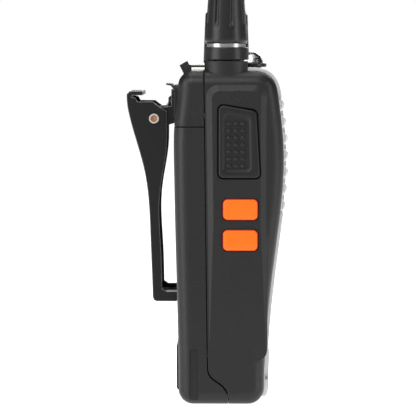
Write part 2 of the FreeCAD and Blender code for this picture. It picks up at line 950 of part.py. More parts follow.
def grille_cloth():
    """The dust cloth between the grille and the speaker."""
    y = speaker_front_y() - gasket_thickness
    radius = speaker_radius - speaker_seat - 2 * part_gap
    return rod(radius, (0, y - cloth_thickness, grille_mid_z), (0, y, grille_mid_z))


def speaker_front_y():
    """The speaker's rim lies this far forward, just behind the front wall."""
    low = grille_mid_z - speaker_radius
    return max(front_face_y(low), front_face_y(grille_mid_z)) + wall + gasket_thickness + 0.4


def speaker_gasket():
    y = speaker_front_y()
    z = grille_mid_z
    return tube(
        speaker_radius, speaker_radius - 2.5, (0, y - gasket_thickness, z), (0, y - fit_gap, z)
    )


def speaker():
    """The loudspeaker: frame, shallow cone and magnet in one piece."""
    y, z = speaker_front_y(), grille_mid_z
    rim = rod(speaker_radius, (0, y, z), (0, y + 1.2, z))
    basket = Part.makeCone(
        speaker_radius - 1.0, 9.5, 2.6, Vector(0, y + 1.2, z), AXIS_Y
    )
    magnet = rod(magnet_radius, (0, y + 3.8, z), (0, y + speaker_depth, z))
    cone = Part.makeCone(speaker_radius - 2.5, 5.0, 1.6, Vector(0, y, z), AXIS_Y)
    dome = rod(4.4, (0, y + 0.7, z), (0, y + 1.8, z))
    return rim.fuse([basket, magnet]).cut(cone).fuse(dome).removeSplitter()


def status_light():
    x, z = status_place()
    y = front_face_y(z)
    return rod(1.1, (x, y - trim_proud - 0.25, z), (x, y + wall + 1.0, z))


def mic_capsule():
    y = front_face_y(mic_z) + wall + 1.4
    return rod(3.0, (mic_x, y, mic_z), (mic_x, y + 2.2, mic_z))


def mic_boot():
    """The rubber boot round the microphone."""
    y = front_face_y(mic_z) + wall + 0.4
    boot = rod(4.2, (mic_x, y, mic_z), (mic_x, y + 3.4, mic_z))
    boot = boot.cut(rod(3.05, (mic_x, y + 0.95, mic_z), (mic_x, y + 4, mic_z)))
    return boot.cut(rod(mic_hole_radius, (mic_x, y - 1, mic_z), (mic_x, y + 2, mic_z)))


# ---------------------------------------------------------------- the keys on the -X side
def stem(y, z, tip_x):
    return rod(stem_radius, (key_flange_x + key_flange - 0.1, y, z), (tip_x, y, z))


def talk_key():
    """The talk key: a cap that fills its window, a flange that keeps it in, and a stem."""
    cap = talk_slab(0.0, -(panel_x + key_proud), key_flange_x + 0.2)
    face_x = -(panel_x + key_proud)
    cap = rounded_edges(cap, key_edge_round, lambda edge: abs(edge.CenterOfMass.x - face_x) < 1e-6)
    flange = talk_slab(key_gap + key_flange_lip, key_flange_x, key_flange_x + key_flange)
    z = talk_top_z - talk_height / 2
    return cap.fuse([flange, stem(small_centre_y, z, key_stem_tip)]).removeSplitter()


def small_key(index):
    """One of the two small keys, made like the talk key."""
    cap = small_slab(index, 0.0, -(panel_x + key_proud), key_flange_x + 0.2)
    face_x = -(panel_x + key_proud)
    edge_radius = key_edge_round - 0.1
    cap = rounded_edges(cap, edge_radius, lambda edge: abs(edge.CenterOfMass.x - face_x) < 1e-6)
    flange = small_slab(index, key_gap + key_flange_lip, key_flange_x, key_flange_x + key_flange)
    foot = stem(small_centre_y, small_key_z(index), key_stem_tip)
    return cap.fuse([flange, foot]).removeSplitter()


def key_centres():
    """The heights of the three switches behind the keys."""
    return [talk_top_z - talk_height / 2] + [small_key_z(i) for i in range(len(small_drops))]


def side_board_span():
    return small_key_z(1) - 4.0, talk_top_z - 2.0


def key_membrane():
    """The silicone sheet with one soft dome in front of each switch."""
    z0, z1 = side_board_span()
    x = key_stem_tip + membrane_gap
    y = small_centre_y
    sheet = box(x, x + membrane_sheet, y - membrane_front, y + membrane_rear, z0, z1)
    tip = x + membrane_sheet + dome_height
    domes = [rod(dome_radius, (x, y, z), (tip, y, z)) for z in key_centres()]
    return sheet.fuse(domes).removeSplitter()


def side_board():
    z0, z1 = side_board_span()
    y = small_centre_y
    rear, front = y + membrane_rear, y - membrane_front
    return box(side_board_x, side_board_x + side_board_sheet, front, rear, z0, z1)


def side_switches():
    """The three tact switches on the side board."""
    made = []
    for z in key_centres():
        half = switch_side / 2
        x = side_board_x - fit_gap
        case = box(
            x - switch_depth, x, small_centre_y - half, small_centre_y + half, z - half, z + half
        )
        plunger = rod(
            plunger_radius,
            (x - switch_depth - plunger_height, small_centre_y, z),
            (x - switch_depth + 0.1, small_centre_y, z),
        )
        made.append(case.fuse(plunger))
    return group(made)


# ---------------------------------------------------------------- the controls on top
def control_body(x):
    """A rotary control: its case under the top wall and its threaded bushing."""
    half = pot_side / 2
    top = body_height - wall - part_gap
    case = box(x - half, x + half, -half, half, top - pot_height, top)
    bushing = rod(bushing_radius, (x, 0, top - 0.5), (x, 0, body_height + nut_height + 0.2))
    bore = rod(
        shaft_radius + shaft_clearance, (x, 0, top - pot_height + 1.8), (x, 0, body_height + 9)
    )
    return case.fuse(bushing).cut(bore).removeSplitter()


def control_nut(x):
    """The thin hexagon nut that clamps the control to the top of the case."""
    points = []
    for i in range(6):
        angle = math.radians(60 * i)
        points.append(
            Vector(x + nut_radius * math.cos(angle), nut_radius * math.sin(angle), body_height + 0.05)
        )
    hexagon = Part.Face(Part.makePolygon(points + points[:1])).extrude(
        Vector(0, 0, nut_height)
    )
    return hexagon.cut(rod(bushing_radius + fit_gap, (x, 0, 0), (x, 0, body_height + 9)))


def shaft_top_z():
    return body_height + knob_lift + knob_height - 3.0


def control_shaft(x):
    """The turning shaft, with a flat that drives the knob."""
    foot = body_height - wall - part_gap - pot_height + 2.2
    shaft = rod(shaft_radius, (x, 0, foot), (x, 0, shaft_top_z()))
    flat = box(
        x - 9, x + 9, shaft_radius - shaft_flat, 20, body_height + nut_height + 1.2, body_height + far
    )
    return shaft.cut(flat)


def knob(x):
    """A knob: a slightly tapered skirt, a hub with a D-shaped bore and grip grooves."""
    foot = body_height + knob_lift
    top = foot + knob_height
    outer = Part.makeCone(
        knob_radius, knob_top_radius, knob_height, Vector(x, 0, foot), AXIS_Z
    )
    outer = rounded_edges(
        outer, 1.1, lambda edge: edge.Closed and abs(edge.CenterOfMass.z - top) < 1e-6
    )
    hollow = rod(knob_radius - knob_skirt, (x, 0, foot - 1), (x, 0, top - 2.2))
    hub = rod(
        shaft_radius + 1.5, (x, 0, body_height + nut_height + 0.6), (x, 0, top - 1.0)
    )
    made = outer.cut(hollow).fuse(hub.common(outer))
    bore = rod(shaft_radius + shaft_clearance, (x, 0, 0), (x, 0, shaft_top_z() + 0.2))
    flat_y = shaft_radius - shaft_flat + shaft_clearance
    bore = bore.cut(box(x - 9, x + 9, flat_y, 20, body_height + nut_height + 1.2, body_height + far))
    made = made.cut(bore)
    grooves = []
    for i in range(knob_groove_count):
        angle = 2 * math.pi * (i + 0.5) / knob_groove_count
        reach = knob_radius + knob_groove_radius - knob_groove_depth
        gx, gy = x + reach * math.cos(angle), reach * math.sin(angle)
        grooves.append(rod(knob_groove_radius, (gx, gy, foot + 2.2), (gx, gy, top + 1)))
    return made.cut(grooves).removeSplitter()



# ---------------------------------------------------------------- the torch
def torch_base_z():
    return body_height + trim_proud + 0.05


def torch_ring():
    z = torch_base_z()
    ring = rod(torch_ring_radius, (torch_x, torch_y, z), (torch_x, torch_y, z + torch_ring_height))
    ring = rounded_edges(ring, 0.35, lambda edge: edge.Closed)
    sleeve = rod(torch_neck, (torch_x, torch_y, z - 6), (torch_x, torch_y, z + 0.5))
    bore = rod(torch_neck - 0.7, (torch_x, torch_y, z - 7), (torch_x, torch_y, z + 9))
    return ring.fuse(sleeve).cut(bore).removeSplitter()


def torch_lens():
    """The clear dome of the torch lamp, with its stem in the ring."""
    z = torch_base_z() + torch_ring_height + 0.02
    ball = Part.makeSphere(torch_dome, Vector(torch_x, torch_y, z))
    dome = ball.common(box(-far, far, -far, far, z, z + 20))
    stem_part = rod(
        torch_neck - 0.75, (torch_x, torch_y, z - 3.0), (torch_x, torch_y, z + 0.2)
    )
    return dome.fuse(stem_part).removeSplitter()


def torch_led():
    z = torch_base_z() + torch_ring_height - 3.1
    return rod(1.7, (torch_x, torch_y, z - 4.5), (torch_x, torch_y, z))


# ---------------------------------------------------------------- the antenna
def antenna_jack():
    """The fixed antenna socket: a flange in the boss, a threaded barrel and its centre pin."""
    foot = body_height - wall - 4.6
    flange_top = body_height - 2.0
    barrel_top = antenna_foot_z + 0.6
    flange = rod(boss_bore - 0.1, (antenna_x, 0, foot), (antenna_x, 0, flange_top))
    barrel = rod(thread_radius, (antenna_x, 0, flange_top), (antenna_x, 0, barrel_top))
    bore = rod(2.2, (antenna_x, 0, flange_top), (antenna_x, 0, barrel_top + 1))
    pin = rod(0.5, (antenna_x, 0, flange_top - 1), (antenna_x, 0, barrel_top - 0.4))
    return flange.fuse(barrel).cut(bore).fuse(pin).removeSplitter()


def antenna_insert():
    """The antenna's threaded brass insert, screwed over the barrel."""
    foot = body_height - 1.6
    top = insert_top_z
    outer = rod(insert_radius, (antenna_x, 0, foot), (antenna_x, 0, top))
    hole_radius = thread_radius + thread_clearance
    hole_top = antenna_foot_z + 0.9
    hole = rod(hole_radius, (antenna_x, 0, foot - 1), (antenna_x, 0, hole_top))
    socket = rod(0.85, (antenna_x, 0, foot - 1), (antenna_x, 0, hole_top + 1.0))
    band_foot = antenna_foot_z + collar_height
    band = rod(
        groove_radius,
        (antenna_x, 0, band_foot + 0.02),
        (antenna_x, 0, band_foot + groove_height - 0.02),
    )
    return outer.fuse(band).cut([hole, socket]).removeSplitter()


def antenna_collar():
    """The ring at the antenna's foot, which rises with it as it unscrews."""
    z = antenna_foot_z + antenna_seat_gap
    height = collar_height - antenna_seat_gap
    collar = Part.makeCone(
        collar_radius, collar_radius - 0.15, height, Vector(antenna_x, 0, z), AXIS_Z
    )
    collar = rounded_edges(collar, 0.3, lambda edge: edge.Closed)
    return collar.cut(
        rod(insert_radius + 0.05, (antenna_x, 0, z - 1), (antenna_x, 0, z + 9))
    )


def sleeve_points():
    """Half of the antenna's outline, from its lower end to its tip, as (radius, height)."""
    foot = sleeve_foot_z
    return [
        (sleeve_radius, foot),
        (sleeve_radius - 0.95, foot + 13.5),
        (whip_radius + 0.75, foot + 32.0),
        (whip_radius + 0.1, foot + 52.0),
        (whip_radius - 0.25, antenna_height - 18.0),
        (whip_radius - 0.4, antenna_height - whip_radius),
    ]


def antenna_sleeve():
    """The moulded rubber skin of the antenna, fluted near its foot."""
    places = [Vector(antenna_x + r, 0, z) for r, z in sleeve_points()]
    foot_z, tip_radius = places[0].z, sleeve_points()[-1][0]
    flank = curve(places, Vector(-0.07, 0, 1), Vector(-0.02, 0, 1))
    tip_foot = places[-1]
    tip = Vector(antenna_x, 0, tip_foot.z + tip_radius)
    turn = tip_radius * math.sqrt(0.5)
    tip_middle = Vector(antenna_x + turn, 0, tip_foot.z + turn)
    foot_axis = Vector(antenna_x, 0, foot_z)
    outline = Part.Wire(
        [
            flank,
            arc(tip_foot, tip_middle, tip),
            line(tip, foot_axis),
            line(foot_axis, places[0]),
        ]
    )
    body = Part.Face(outline).revolve(Vector(antenna_x, 0, 0), AXIS_Z, 360)
    pocket_top = insert_top_z + insert_gap
    pocket = rod(insert_radius, (antenna_x, 0, foot_z - 1), (antenna_x, 0, pocket_top))
    core = rod(core_radius + fit_gap, (antenna_x, 0, pocket_top - 1), (antenna_x, 0, core_top()))
    body = body.cut([pocket, core])
    flutes = []
    start = foot_z + flute_start
    for i in range(flute_count):
        angle = 2 * math.pi * (i + flute_phase) / flute_count
        direction = Vector(math.cos(angle), math.sin(angle), 0)
        low = Vector(antenna_x, 0, start) + direction * (sleeve_radius - 0.3)
        high = Vector(antenna_x, 0, start + flute_length) + direction * (whip_radius + 0.75)
        flute = Part.makeCylinder(flute_radius, (high - low).Length, low, high - low)
        flutes += [flute, Part.makeSphere(flute_radius, low)]
    return body.cut(flutes)



def core_top():
    return antenna_height - 12.0


def antenna_core():
    """The radiating element inside the rubber: a straight rod with a tinned foot."""
    foot = insert_top_z + insert_gap
    return rod(core_radius, (antenna_x, 0, foot), (antenna_x, 0, core_top() - 0.2))


# ---------------------------------------------------------------- the belt clip
def clip_screw_z():
    return battery_top_z + bracket_height * 0.58


def bracket_rear_y():
    return back_belly_y + 0.2


def clip_bracket():
    """The bracket that is screwed to the back: a plate, a bent lip on top and two ears."""
    y0 = bracket_rear_y()
    y1 = y0 + bracket_sheet
    half = bracket_width / 2
    z0, z1 = battery_top_z - 0.6, battery_top_z + bracket_height - 0.8
    plate = box(-half, half, y0, y1, z0 + 0.8, z1)
    lip_points = [(y0, z1 - 0.3), (y0 + 1.3, z1 + 1.1), (y0 + 2.6, z1 + 1.3)]
    lip_points += [(y0 + 2.6, z1 + 1.8), (y0 + 1.0, z1 + 1.7), (y0, z1 + 0.4)]
    lip = polygon_x(lip_points, -half + 2, half - 2)
    ears = []
    for sign in (-1, 1):
        inner = half - bracket_sheet
        a, b = sorted((sign * inner, sign * half))
        round_end = rod(bracket_ear_round, (a, clip_pin_y, clip_pin_z), (b, clip_pin_y, clip_pin_z))
        neck = polygon_x(
            [
                (y0, z0 + 0.8),
                (clip_pin_y, clip_pin_z - bracket_ear_round),
                (clip_pin_y, clip_pin_z + bracket_ear_round),
                (y0, clip_pin_z + bracket_ear_round + 0.6),
            ],
            a,
            b,
        )
        ears += [round_end, neck]
    made = plate.fuse([lip] + ears)
    hole = clip_pin_radius + clip_pin_clearance
    made = made.cut(rod(hole, (-far, clip_pin_y, clip_pin_z), (far, clip_pin_y, clip_pin_z)))
    for x in (-clip_screw_x, clip_screw_x):
        z = clip_screw_z()
        made = made.cut(rod(clip_screw_radius + 0.2, (x, 0, z), (x, 40, z)))
    return made.removeSplitter()


def clip_outer_points():
    """The outer face of the clip's web, from the thumb lip down to the foot."""
    y, z = clip_pin_y, clip_pin_z
    return [
        side(y + 8.1, z + 6.4),
        side(y + 7.3, z + 0.7),
        side(y + 5.4, z - clip_reach * 0.113),
        side(y + 2.9, z - clip_reach * 0.281),
        side(y + 1.6, z - clip_reach * 0.456),
        side(y + 1.1, z - clip_reach * 0.657),
        side(y + 0.5, clip_foot_z + 1.4),
    ]


def clip_web_wire(inset, cap):
    """A closed outline behind the web's outer face, moved in by inset; cap is its forward limit."""
    points = [side(p.y - inset, p.z) for p in clip_outer_points()]
    flank = curve(points, side(0.0, -1), side(-0.02, -1))
    low, high = side(cap, points[-1].z), side(cap, points[0].z)
    return Part.Wire([flank, line(points[-1], low), line(low, high), line(high, points[0])])


def clip_ear_wire():
    """The side flange of the clip: a broad ear round the pin that narrows to a rim and a foot."""
    y, z = clip_pin_y, clip_pin_z
    outer = clip_outer_points()
    foot_y = label_plane_y + clip_rest_gap
    foot_z = clip_foot_z
    inner = [
        side(y - 3.85, z - clip_reach * 0.1),
        side(y - 3.3, z - clip_reach * 0.219),
        side(y - 1.9, z - clip_reach * 0.374),
        side(y - 1.45, z - clip_reach * 0.474),
        side(y - 2.0, z - clip_reach * 0.73),
        side(y - 2.3, clip_foot_z + 3.8),
    ]
    flank = curve(outer, side(0.0, -1), side(-0.02, -1))
    rim = curve(inner, side(0, -1), side(-0.02, -1))
    heel = [side(outer[-1].y - 0.35, foot_z + 0.35), side(outer[-1].y - 1.2, foot_z)]
    path = [flank, line(outer[-1], heel[0]), line(heel[0], heel[1])]
    corners = [
        heel[1],
        side(foot_y + 0.5, foot_z),
        side(foot_y, foot_z + 0.5),
        side(foot_y, foot_z + 2.7),
        side(foot_y + 0.3, foot_z + 3.0),
        side(inner[-1].y - 1.2, foot_z + 3.0),
        inner[-1],
    ]
    path += [line(a, b) for a, b in zip(corners, corners[1:])]
    path.append(rim)
    top = [
        inner[0],
        side(y - 3.85, z + 2.2),
        side(y - 2.0, z + 3.2),
        side(y + 0.4, z + 5.0),
        side(y + 4.9, z + 5.0),
        side(y + 5.6, z + 6.2),
        side(y + 6.9, z + 6.4),
        outer[0],
    ]
    path += [line(a, b) for a, b in zip(top, top[1:])]
    return Part.Wire(Part.__sortEdges__(path))


def clip_lever():
    """The sprung lever, bent from one sheet: web, two side flanges, thumb lip and foot."""
    half = clip_width / 2
    whole = slab_x(clip_ear_wire(), -half, half)
    inner_cut = slab_x(clip_web_wire(clip_sheet, -40.0), -half + clip_sheet, half - clip_sheet)
    lever = whole.cut(inner_cut)
    y, z = clip_pin_y, clip_pin_z
    foot_y, foot_z = label_plane_y + clip_rest_gap, clip_foot_z
    sole = box(
        -half, half, foot_y + 0.3, clip_outer_points()[-1].y - 1.2, foot_z, foot_z + clip_sheet
    )
    heel = box(
        -half, half, clip_outer_points()[-1].y - 1.6, clip_outer_points()[-1].y - 0.4,
        foot_z + 0.4, foot_z + 3.0,
    )
    lip_points = [
        (y + 8.1, z + 6.2),
        (y + 8.1, z + 7.2),
        (y + 7.2, z + 8.1),
        (y + 3.4, z + 8.1),
        (y + 3.4, z + 8.1 - clip_sheet),
        (y + 6.6, z + 8.0 - clip_sheet),
        (y + 8.1 - clip_sheet, z + 6.2),
    ]
    lip = polygon_x(lip_points, -half, half)
    lever = lever.fuse([sole, heel, lip])
    hole = clip_pin_radius + clip_pin_clearance
    lever = lever.cut(rod(hole, (-far, y, z), (far, y, z)))
    return lever.removeSplitter()


def clip_pin():
    """The rivet that the clip turns on, with a hollow head at each end."""
    y, z = clip_pin_y, clip_pin_z
    reach = clip_width / 2
    shaft = rod(clip_pin_radius, (-reach - 0.1, y, z), (reach + 0.1, y, z))
    heads = [
        rod(clip_pin_head, (-reach - 0.55, y, z), (-reach - 0.05, y, z)),
        rod(clip_pin_head, (reach + 0.05, y, z), (reach + 0.55, y, z)),
    ]
    pin = shaft.fuse(heads)
    for a, b in ((-reach - 1, -reach - 0.1), (reach + 0.1, reach + 1)):
        pin = pin.cut(rod(clip_pin_radius - clip_pin_recess, (a, y, z), (b, y, z)))
    return pin.removeSplitter()


def clip_spring():
    """The torsion spring: a grooved coil round the pin, a leg on the bracket, one on the lever."""
    y, z = clip_pin_y, clip_pin_z
    pitch = spring_wire * 2.25
    half = spring_turns * pitch / 2
    outer, inner = spring_coil + spring_wire, spring_coil - spring_wire
    coil = tube(outer, inner, (-half, y, z), (half, y, z))
    for i in range(1, spring_turns):
        x = -half + i * pitch
        groove = tube(outer + 1, spring_coil, (x - 0.08, y, z), (x + 0.08, y, z))
        coil = coil.cut(groove)
    rest_y = bracket_rear_y() + bracket_sheet + spring_wire + 0.05
    fixed_x = -half + spring_wire + 0.05
    fixed = rod(spring_wire, (fixed_x, y - spring_coil, z), (fixed_x, rest_y, z + 6.2))
    web_y = clip_outer_points()[2].y - clip_sheet - spring_wire - 0.6
    free = rod(spring_wire, (-fixed_x, y + 0.4, z - spring_coil), (-fixed_x, web_y, z - 8.0))
    return coil.fuse([fixed, free]).removeSplitter()


def clip_screws():
    """The two screws that hold the bracket."""
    made = []
    y = bracket_rear_y() + bracket_sheet + 0.02
    z = clip_screw_z()
    for x in (-clip_screw_x, clip_screw_x):
        shank = rod(clip_screw_radius - 0.05, (x, back_belly_y - 2.8, z), (x, y + 0.2, z))
        head = Part.makeCone(clip_screw_head, clip_screw_head - 0.7, 0.9, Vector(x, y, z), AXIS_Y)
        cross = box(x - 1.3, x + 1.3, y + 0.35, y + 2, z - 0.3, z + 0.3).fuse(
            box(x - 0.3, x + 0.3, y + 0.35, y + 2, z - 1.3, z + 1.3)
        )
        made.append(head.fuse(shank).cut(cross))
    return group(made)


# ---------------------------------------------------------------- the battery
def hook_block(x, margin):
    """A hook on top of the battery, or with a margin the pocket that it goes into."""
    y = plate_rear_y + 3.0
    half = hook_width / 2 + margin
    return box(
        x - half,
        x + half,
        y - margin,
        y + hook_depth + margin,
        battery_top_z - battery_top_gap - 1.0,
        battery_top_z + hook_height - battery_top_gap + margin,
    )


def battery_region():
    return box(-far, far, -far, far, -5, battery_top_z - battery_top_gap)


def battery_cavity():
    """The hollow in the battery, open towards the radio."""
    front = seam_foot_y + seam_gap / 2
    top = battery_top_z - battery_top_gap - battery_wall
    hollow = box(
        -half_width + battery_wall + 1.0,
        half_width - battery_wall - 1.0,
        front - 20,
        label_plane_y - label_thickness - battery_wall,
        latch_foot_z + latch_height + latch_travel + battery_wall + 0.8,
        top,
    )
    return rounded_edges(hollow, 1.5, along(AXIS_Y))


def battery_shell():
    """The battery's outer shell: it forms the lower back and the rear half of the foot."""
    shell = envelope().common(behind_seam(seam_gap / 2)).common(battery_region())
    shell = shell.cut(battery_cavity())
    label_field = box(
        -label_half,
        label_half,
        label_plane_y - label_thickness,
        40,
        label_foot_z,
        battery_top_z + 5,
    )
    shell = shell.cut(label_field)
    shell = shell.cut(latch_pocket())
    for a, b in ((-far, -half_width + groove_depth), (half_width - groove_depth, far)):
        middle = (groove_rear_y + groove_front_y) / 2
        radius = (groove_rear_y - groove_front_y) / 2
        groove = box(a, b, groove_front_y, groove_rear_y, -5, groove_top_z - radius)
        top = rod(radius, (a, middle, groove_top_z - radius), (b, middle, groove_top_z - radius))
        shell = shell.cut(groove.fuse(top))
    for x in (-contact_x, contact_x):
        shell = shell.cut(contact_block(x, part_gap / 4))
    hooks = [hook_block(x, 0.0) for x in (-hook_x, hook_x)]
    return shell.fuse(hooks).removeSplitter()


def latch_pocket():
    """The pocket for the latch, undercut for its rails."""
    y0 = latch_outer_y() - latch_depth
    half = latch_half + moving_gap
    z0, z1 = latch_foot_z - moving_gap, latch_foot_z + latch_height + latch_travel + moving_gap
    opening = box(-half, half, y0 - moving_gap, 40, z0, z1)
    undercut = box(
        -half - latch_rail, half + latch_rail, y0 - moving_gap, y0 + latch_rail + moving_gap, z0, z1
    )
    return opening.fuse(undercut)


def latch_outer_y():
    return back_belly_y - 1.3 + latch_proud


def battery_latch():
    """The sliding latch low on the battery's back, with finger ridges."""
    y1 = latch_outer_y()
    y0 = y1 - latch_depth
    z0, z1 = latch_foot_z, latch_foot_z + latch_height
    plate = box(-latch_half, latch_half, y0, y1, z0, z1)
    plate = rounded_edges(
        plate, 0.8, lambda e: abs(e.CenterOfMass.y - y1) < 1e-6 and along(AXIS_X)(e)
    )
    rails = box(-latch_half - latch_rail, latch_half + latch_rail, y0, y0 + latch_rail, z0, z1)
    plate = plate.fuse(rails)
    for i in range(4):
        z = z0 + 4.0 + i * 2.0
        plate = plate.cut(
            rod(0.45, (-latch_half + 2.5, y1 + 0.1, z), (latch_half - 2.5, y1 + 0.1, z))
        )
    return plate.removeSplitter()


def contact_block(x, margin):
    y = back_belly_y - 2.35 - margin
    half = pad_half + margin
    return box(x - half, x + half, y, back_belly_y + 5, pad_foot_z - margin, pad_top_z + margin)


def charge_contacts():
    """The two plated contacts that meet the charger's springs."""
    skin = envelope(0.15)
    return group([contact_block(x, 0.0).common(skin) for x in (-contact_x, contact_x)])


def battery_label():
    """The blank rating label in its sunk field."""
    top = battery_top_z - battery_top_gap - 9.0
    return rounded_plate_y(
        label_half - 0.6,
        label_foot_z + 1.0,
        top,
        1.2,
        label_plane_y - label_thickness + 0.01,
        label_plane_y - 0.03,
    )


def battery_lid():
    """The flat inner cover of the battery, which faces the radio."""
    cavity = battery_cavity().BoundBox
    y = seam_foot_y + seam_gap / 2
    plate = box(
        cavity.XMin + 0.1,
        cavity.XMax - 0.1,
        y + 0.05,
        y + 1.05,
        cavity.ZMin + 0.1,
        cavity.ZMax - 0.1,
    )
    plate = rounded_edges(plate, 1.4, along(AXIS_Y))
    for x in terminal_places():
        plate = plate.cut(box(x - 1.7, x + 1.7, 0, 20, 23.0, 29.0))
    return plate


def battery_terminals():
    """The four gold pads that the radio's springs press on."""
    y = seam_foot_y + seam_gap / 2
    return group(
        [box(x - 1.6, x + 1.6, y + 0.3, y + 1.0, 23.1, 28.9) for x in terminal_places()]
    )


def battery_board():
    """The protection board at the cell's lower end."""
    cavity = battery_cavity().BoundBox
    y = seam_foot_y + seam_gap / 2 + 1.1
    return box(cavity.XMin + 4, cavity.XMax - 4, y, y + 1.0, cavity.ZMin + 0.6, cavity.ZMin + 9.4)


def battery_cell():
    """The lithium-ion cell."""
    cavity = battery_cavity().BoundBox
    y = cavity.YMax - 0.15
    cell = box(
        cavity.XMin + 1.5,
        cavity.XMax - 1.5,
        y - cell_thickness,
        y,
        cavity.ZMin + 10.2,
        cavity.ZMax - 1.0,
    )
    return rounded_edges(cell, 1.6, along(AXIS_Z))


# ---------------------------------------------------------------- the headset sockets
def jack_sleeves():
    """The two plated socket sleeves."""
    made = []
    for z, radius in ((jack_top_z, jack_large_radius), (jack_foot_z, jack_small_radius)):
        start, end = jack_mouth_x() - jack_depth, jack_mouth_x()
        made.append(
            tube(radius + jack_sleeve, radius, (start, jack_y, z), (end, jack_y, z))
        )
    return group(made)


def jack_mouth_x():
    """The sockets end just under the cover."""
    return cover_floor_x - 0.1


def jack_block():
    """The plastic block that holds both sockets."""
    x1 = inner_x - part_gap
    x0 = jack_mouth_x() - jack_depth - 1.5
    half = jack_block_depth / 2
    block = box(x0, x1, jack_y - half, jack_y + half, jack_foot_z - 4.2, jack_top_z + 3.6)
    for z, radius in ((jack_top_z, jack_large_radius), (jack_foot_z, jack_small_radius)):
        hole = rod(radius + jack_sleeve + 0.02, (x0 + 1.48, jack_y, z), (far, jack_y, z))
        block = block.cut(hole)
    return block


def strap_box(margin):
    """The rubber strap over the cover, or with a margin the slot that it lies in."""
    half = strap_width / 2 + margin
    y = (cover_front_y + cover_rear_y) / 2
    x1 = panel_x - 0.2
    x0 = x1 - strap_thickness - margin
    return box(x0, x1, y - half, y + half, cover_top_z, cover_top_z + strap_length + margin)


def strap_stud(margin):
    """The stud that plugs the strap into the case."""
    y, z = (cover_front_y + cover_rear_y) / 2, cover_top_z + strap_length - 1.3
    stem_rod = rod(0.8 + margin, (inner_x - 1.0, y, z), (panel_x - 0.6, y, z))
    if margin:
        return stem_rod
    return stem_rod.fuse(rod(1.25, (inner_x - 1.0, y, z), (inner_x - 0.1, y, z)))


def strap_slot():
    slot = strap_box(part_gap)
    slot = slot.fuse(slot.copy().translated(Vector(1.0, 0, 0)))
    return slot.fuse(strap_stud(0.02))


def cover_strap():
    """The strap that ties the cover to the case; it bends when the cover opens."""
    return strap_box(0.0).fuse(strap_stud(0.0)).removeSplitter()


def jack_cover():
    """The rubber cover over the sockets, with a finger notch at its foot."""
    x0, x1 = cover_floor_x + moving_gap, panel_x + 0.35
    cover = cover_slab(0.0, x0, x1)
    cover = rounded_edges(cover, 0.6, lambda e: abs(e.CenterOfMass.x - x1) < 1e-6)
    y, foot = (cover_front_y + cover_rear_y) / 2, jack_foot_z - cover_margin
    notch_x = x1 + notch_radius - notch_depth
    notch = rod(notch_radius, (notch_x, y, foot - 0.6), (notch_x, y, foot + notch_height))
    return cover.cut(notch)


# ---------------------------------------------------------------- the inner parts
def chassis():
    """The cast aluminium chassis plate behind the board, with two stiffening ribs."""
    z0, z1 = seam_foot_z + 1.0, battery_top_z - 1.0
    half = inner_x - 1.0
    plate = box(inner_left_x, half, chassis_y, chassis_y + chassis_sheet, z0, z1)
    plate = rounded_edges(plate, 2.5, along(AXIS_Y))
    for x, z in frame_screw_places():
        plate = plate.cut(rod(3.0, (x, -30, z), (x, 20, z)))
    for x, z in board_screw_places():
        plate = plate.cut(rod(screw_radius, (x, -30, z), (x, 20, z)))
    for x in terminal_places():
        plate = plate.cut(box(x - 1.9, x + 1.9, 0, 20, 20.5, 31.5))
    return plate


def board_screw_places():
    z0, z1 = seam_foot_z + 4.5, jack_foot_z - 8.0
    x = board_half - 3.0
    return [(-x, z0), (x, z0), (-x, z1), (x, z1)]


def main_board():
    """The main circuit board."""
    z0, z1 = seam_foot_z + 2.0, battery_top_z - 2.0
    board = box(-board_half, board_half, board_y, board_y + board_thickness, z0, z1)
    for x, z in board_screw_places():
        board = board.cut(rod(screw_radius + 0.1, (x, -30, z), (x, 20, z)))
    for x, z in frame_screw_places():
        board = board.cut(rod(3.0, (x, -30, z), (x, 20, z)))
    return board


def board_screws():
    made = []
    for x, z in board_screw_places():
        y = board_y - 0.02
        shank = rod(screw_radius - 0.03, (x, y - 0.2, z), (x, chassis_y + chassis_sheet, z))
        head = rod(screw_head, (x, y - 1.1, z), (x, y, z))
        slot = box(x - 1.1, x + 1.1, y - 2, y - 0.7, z - 0.25, z + 0.25)
        made.append(head.fuse(shank).cut(slot))
    return group(made)


def shield_can():
    """The tinned screening can over the radio-frequency section."""
    z0, z1 = seam_foot_z + 8.0, grille_foot_z - 2.0
    y1 = board_y - 0.05
    can = box(-13.0, 13.0, y1 - 2.6, y1, z0 + 10.0, z1)
    can = rounded_edges(can, 1.0, along(AXIS_Y))
    hollow = box(-12.7, 12.7, y1 - 2.3, y1 + 1, z0 + 10.3, z1 - 0.3)
    return can.cut(hollow)


def frame_screws():
    """The four screws from the back through the rear frame into the front housing."""
    made = []
    for x, z in frame_screw_places():
        head_y = plate_rear_y - 0.68
        head = rod(screw_head, (x, head_y, z), (x, plate_rear_y - 0.02, z))
        shank = rod(screw_radius - 0.03, (x, -5.0, z), (x, head_y + 0.1, z))
        slot = box(x - 1.2, x + 1.2, head_y + 0.3, head_y + 3, z - 0.25, z + 0.25)
        made.append(head.fuse(shank).cut(slot))
    return group(made)


def radio_terminals():
    """The four spring fingers that reach through the rear frame to the battery's pads."""
    made = []
    y1 = plate_rear_y + 0.45
    y0 = board_y + board_thickness + 0.02
    for x in terminal_places():
        foot = box(x - 0.8, x + 0.8, y0, y0 + 0.4, 22.5, 29.5)
        finger = polygon_x(
            [(y0 + 0.3, 23.0), (y0 + 0.3, 24.0), (y1, 26.6), (y1, 25.6)], x - 0.8, x + 0.8
        )
        made.append(foot.fuse(finger))
    return group(made)


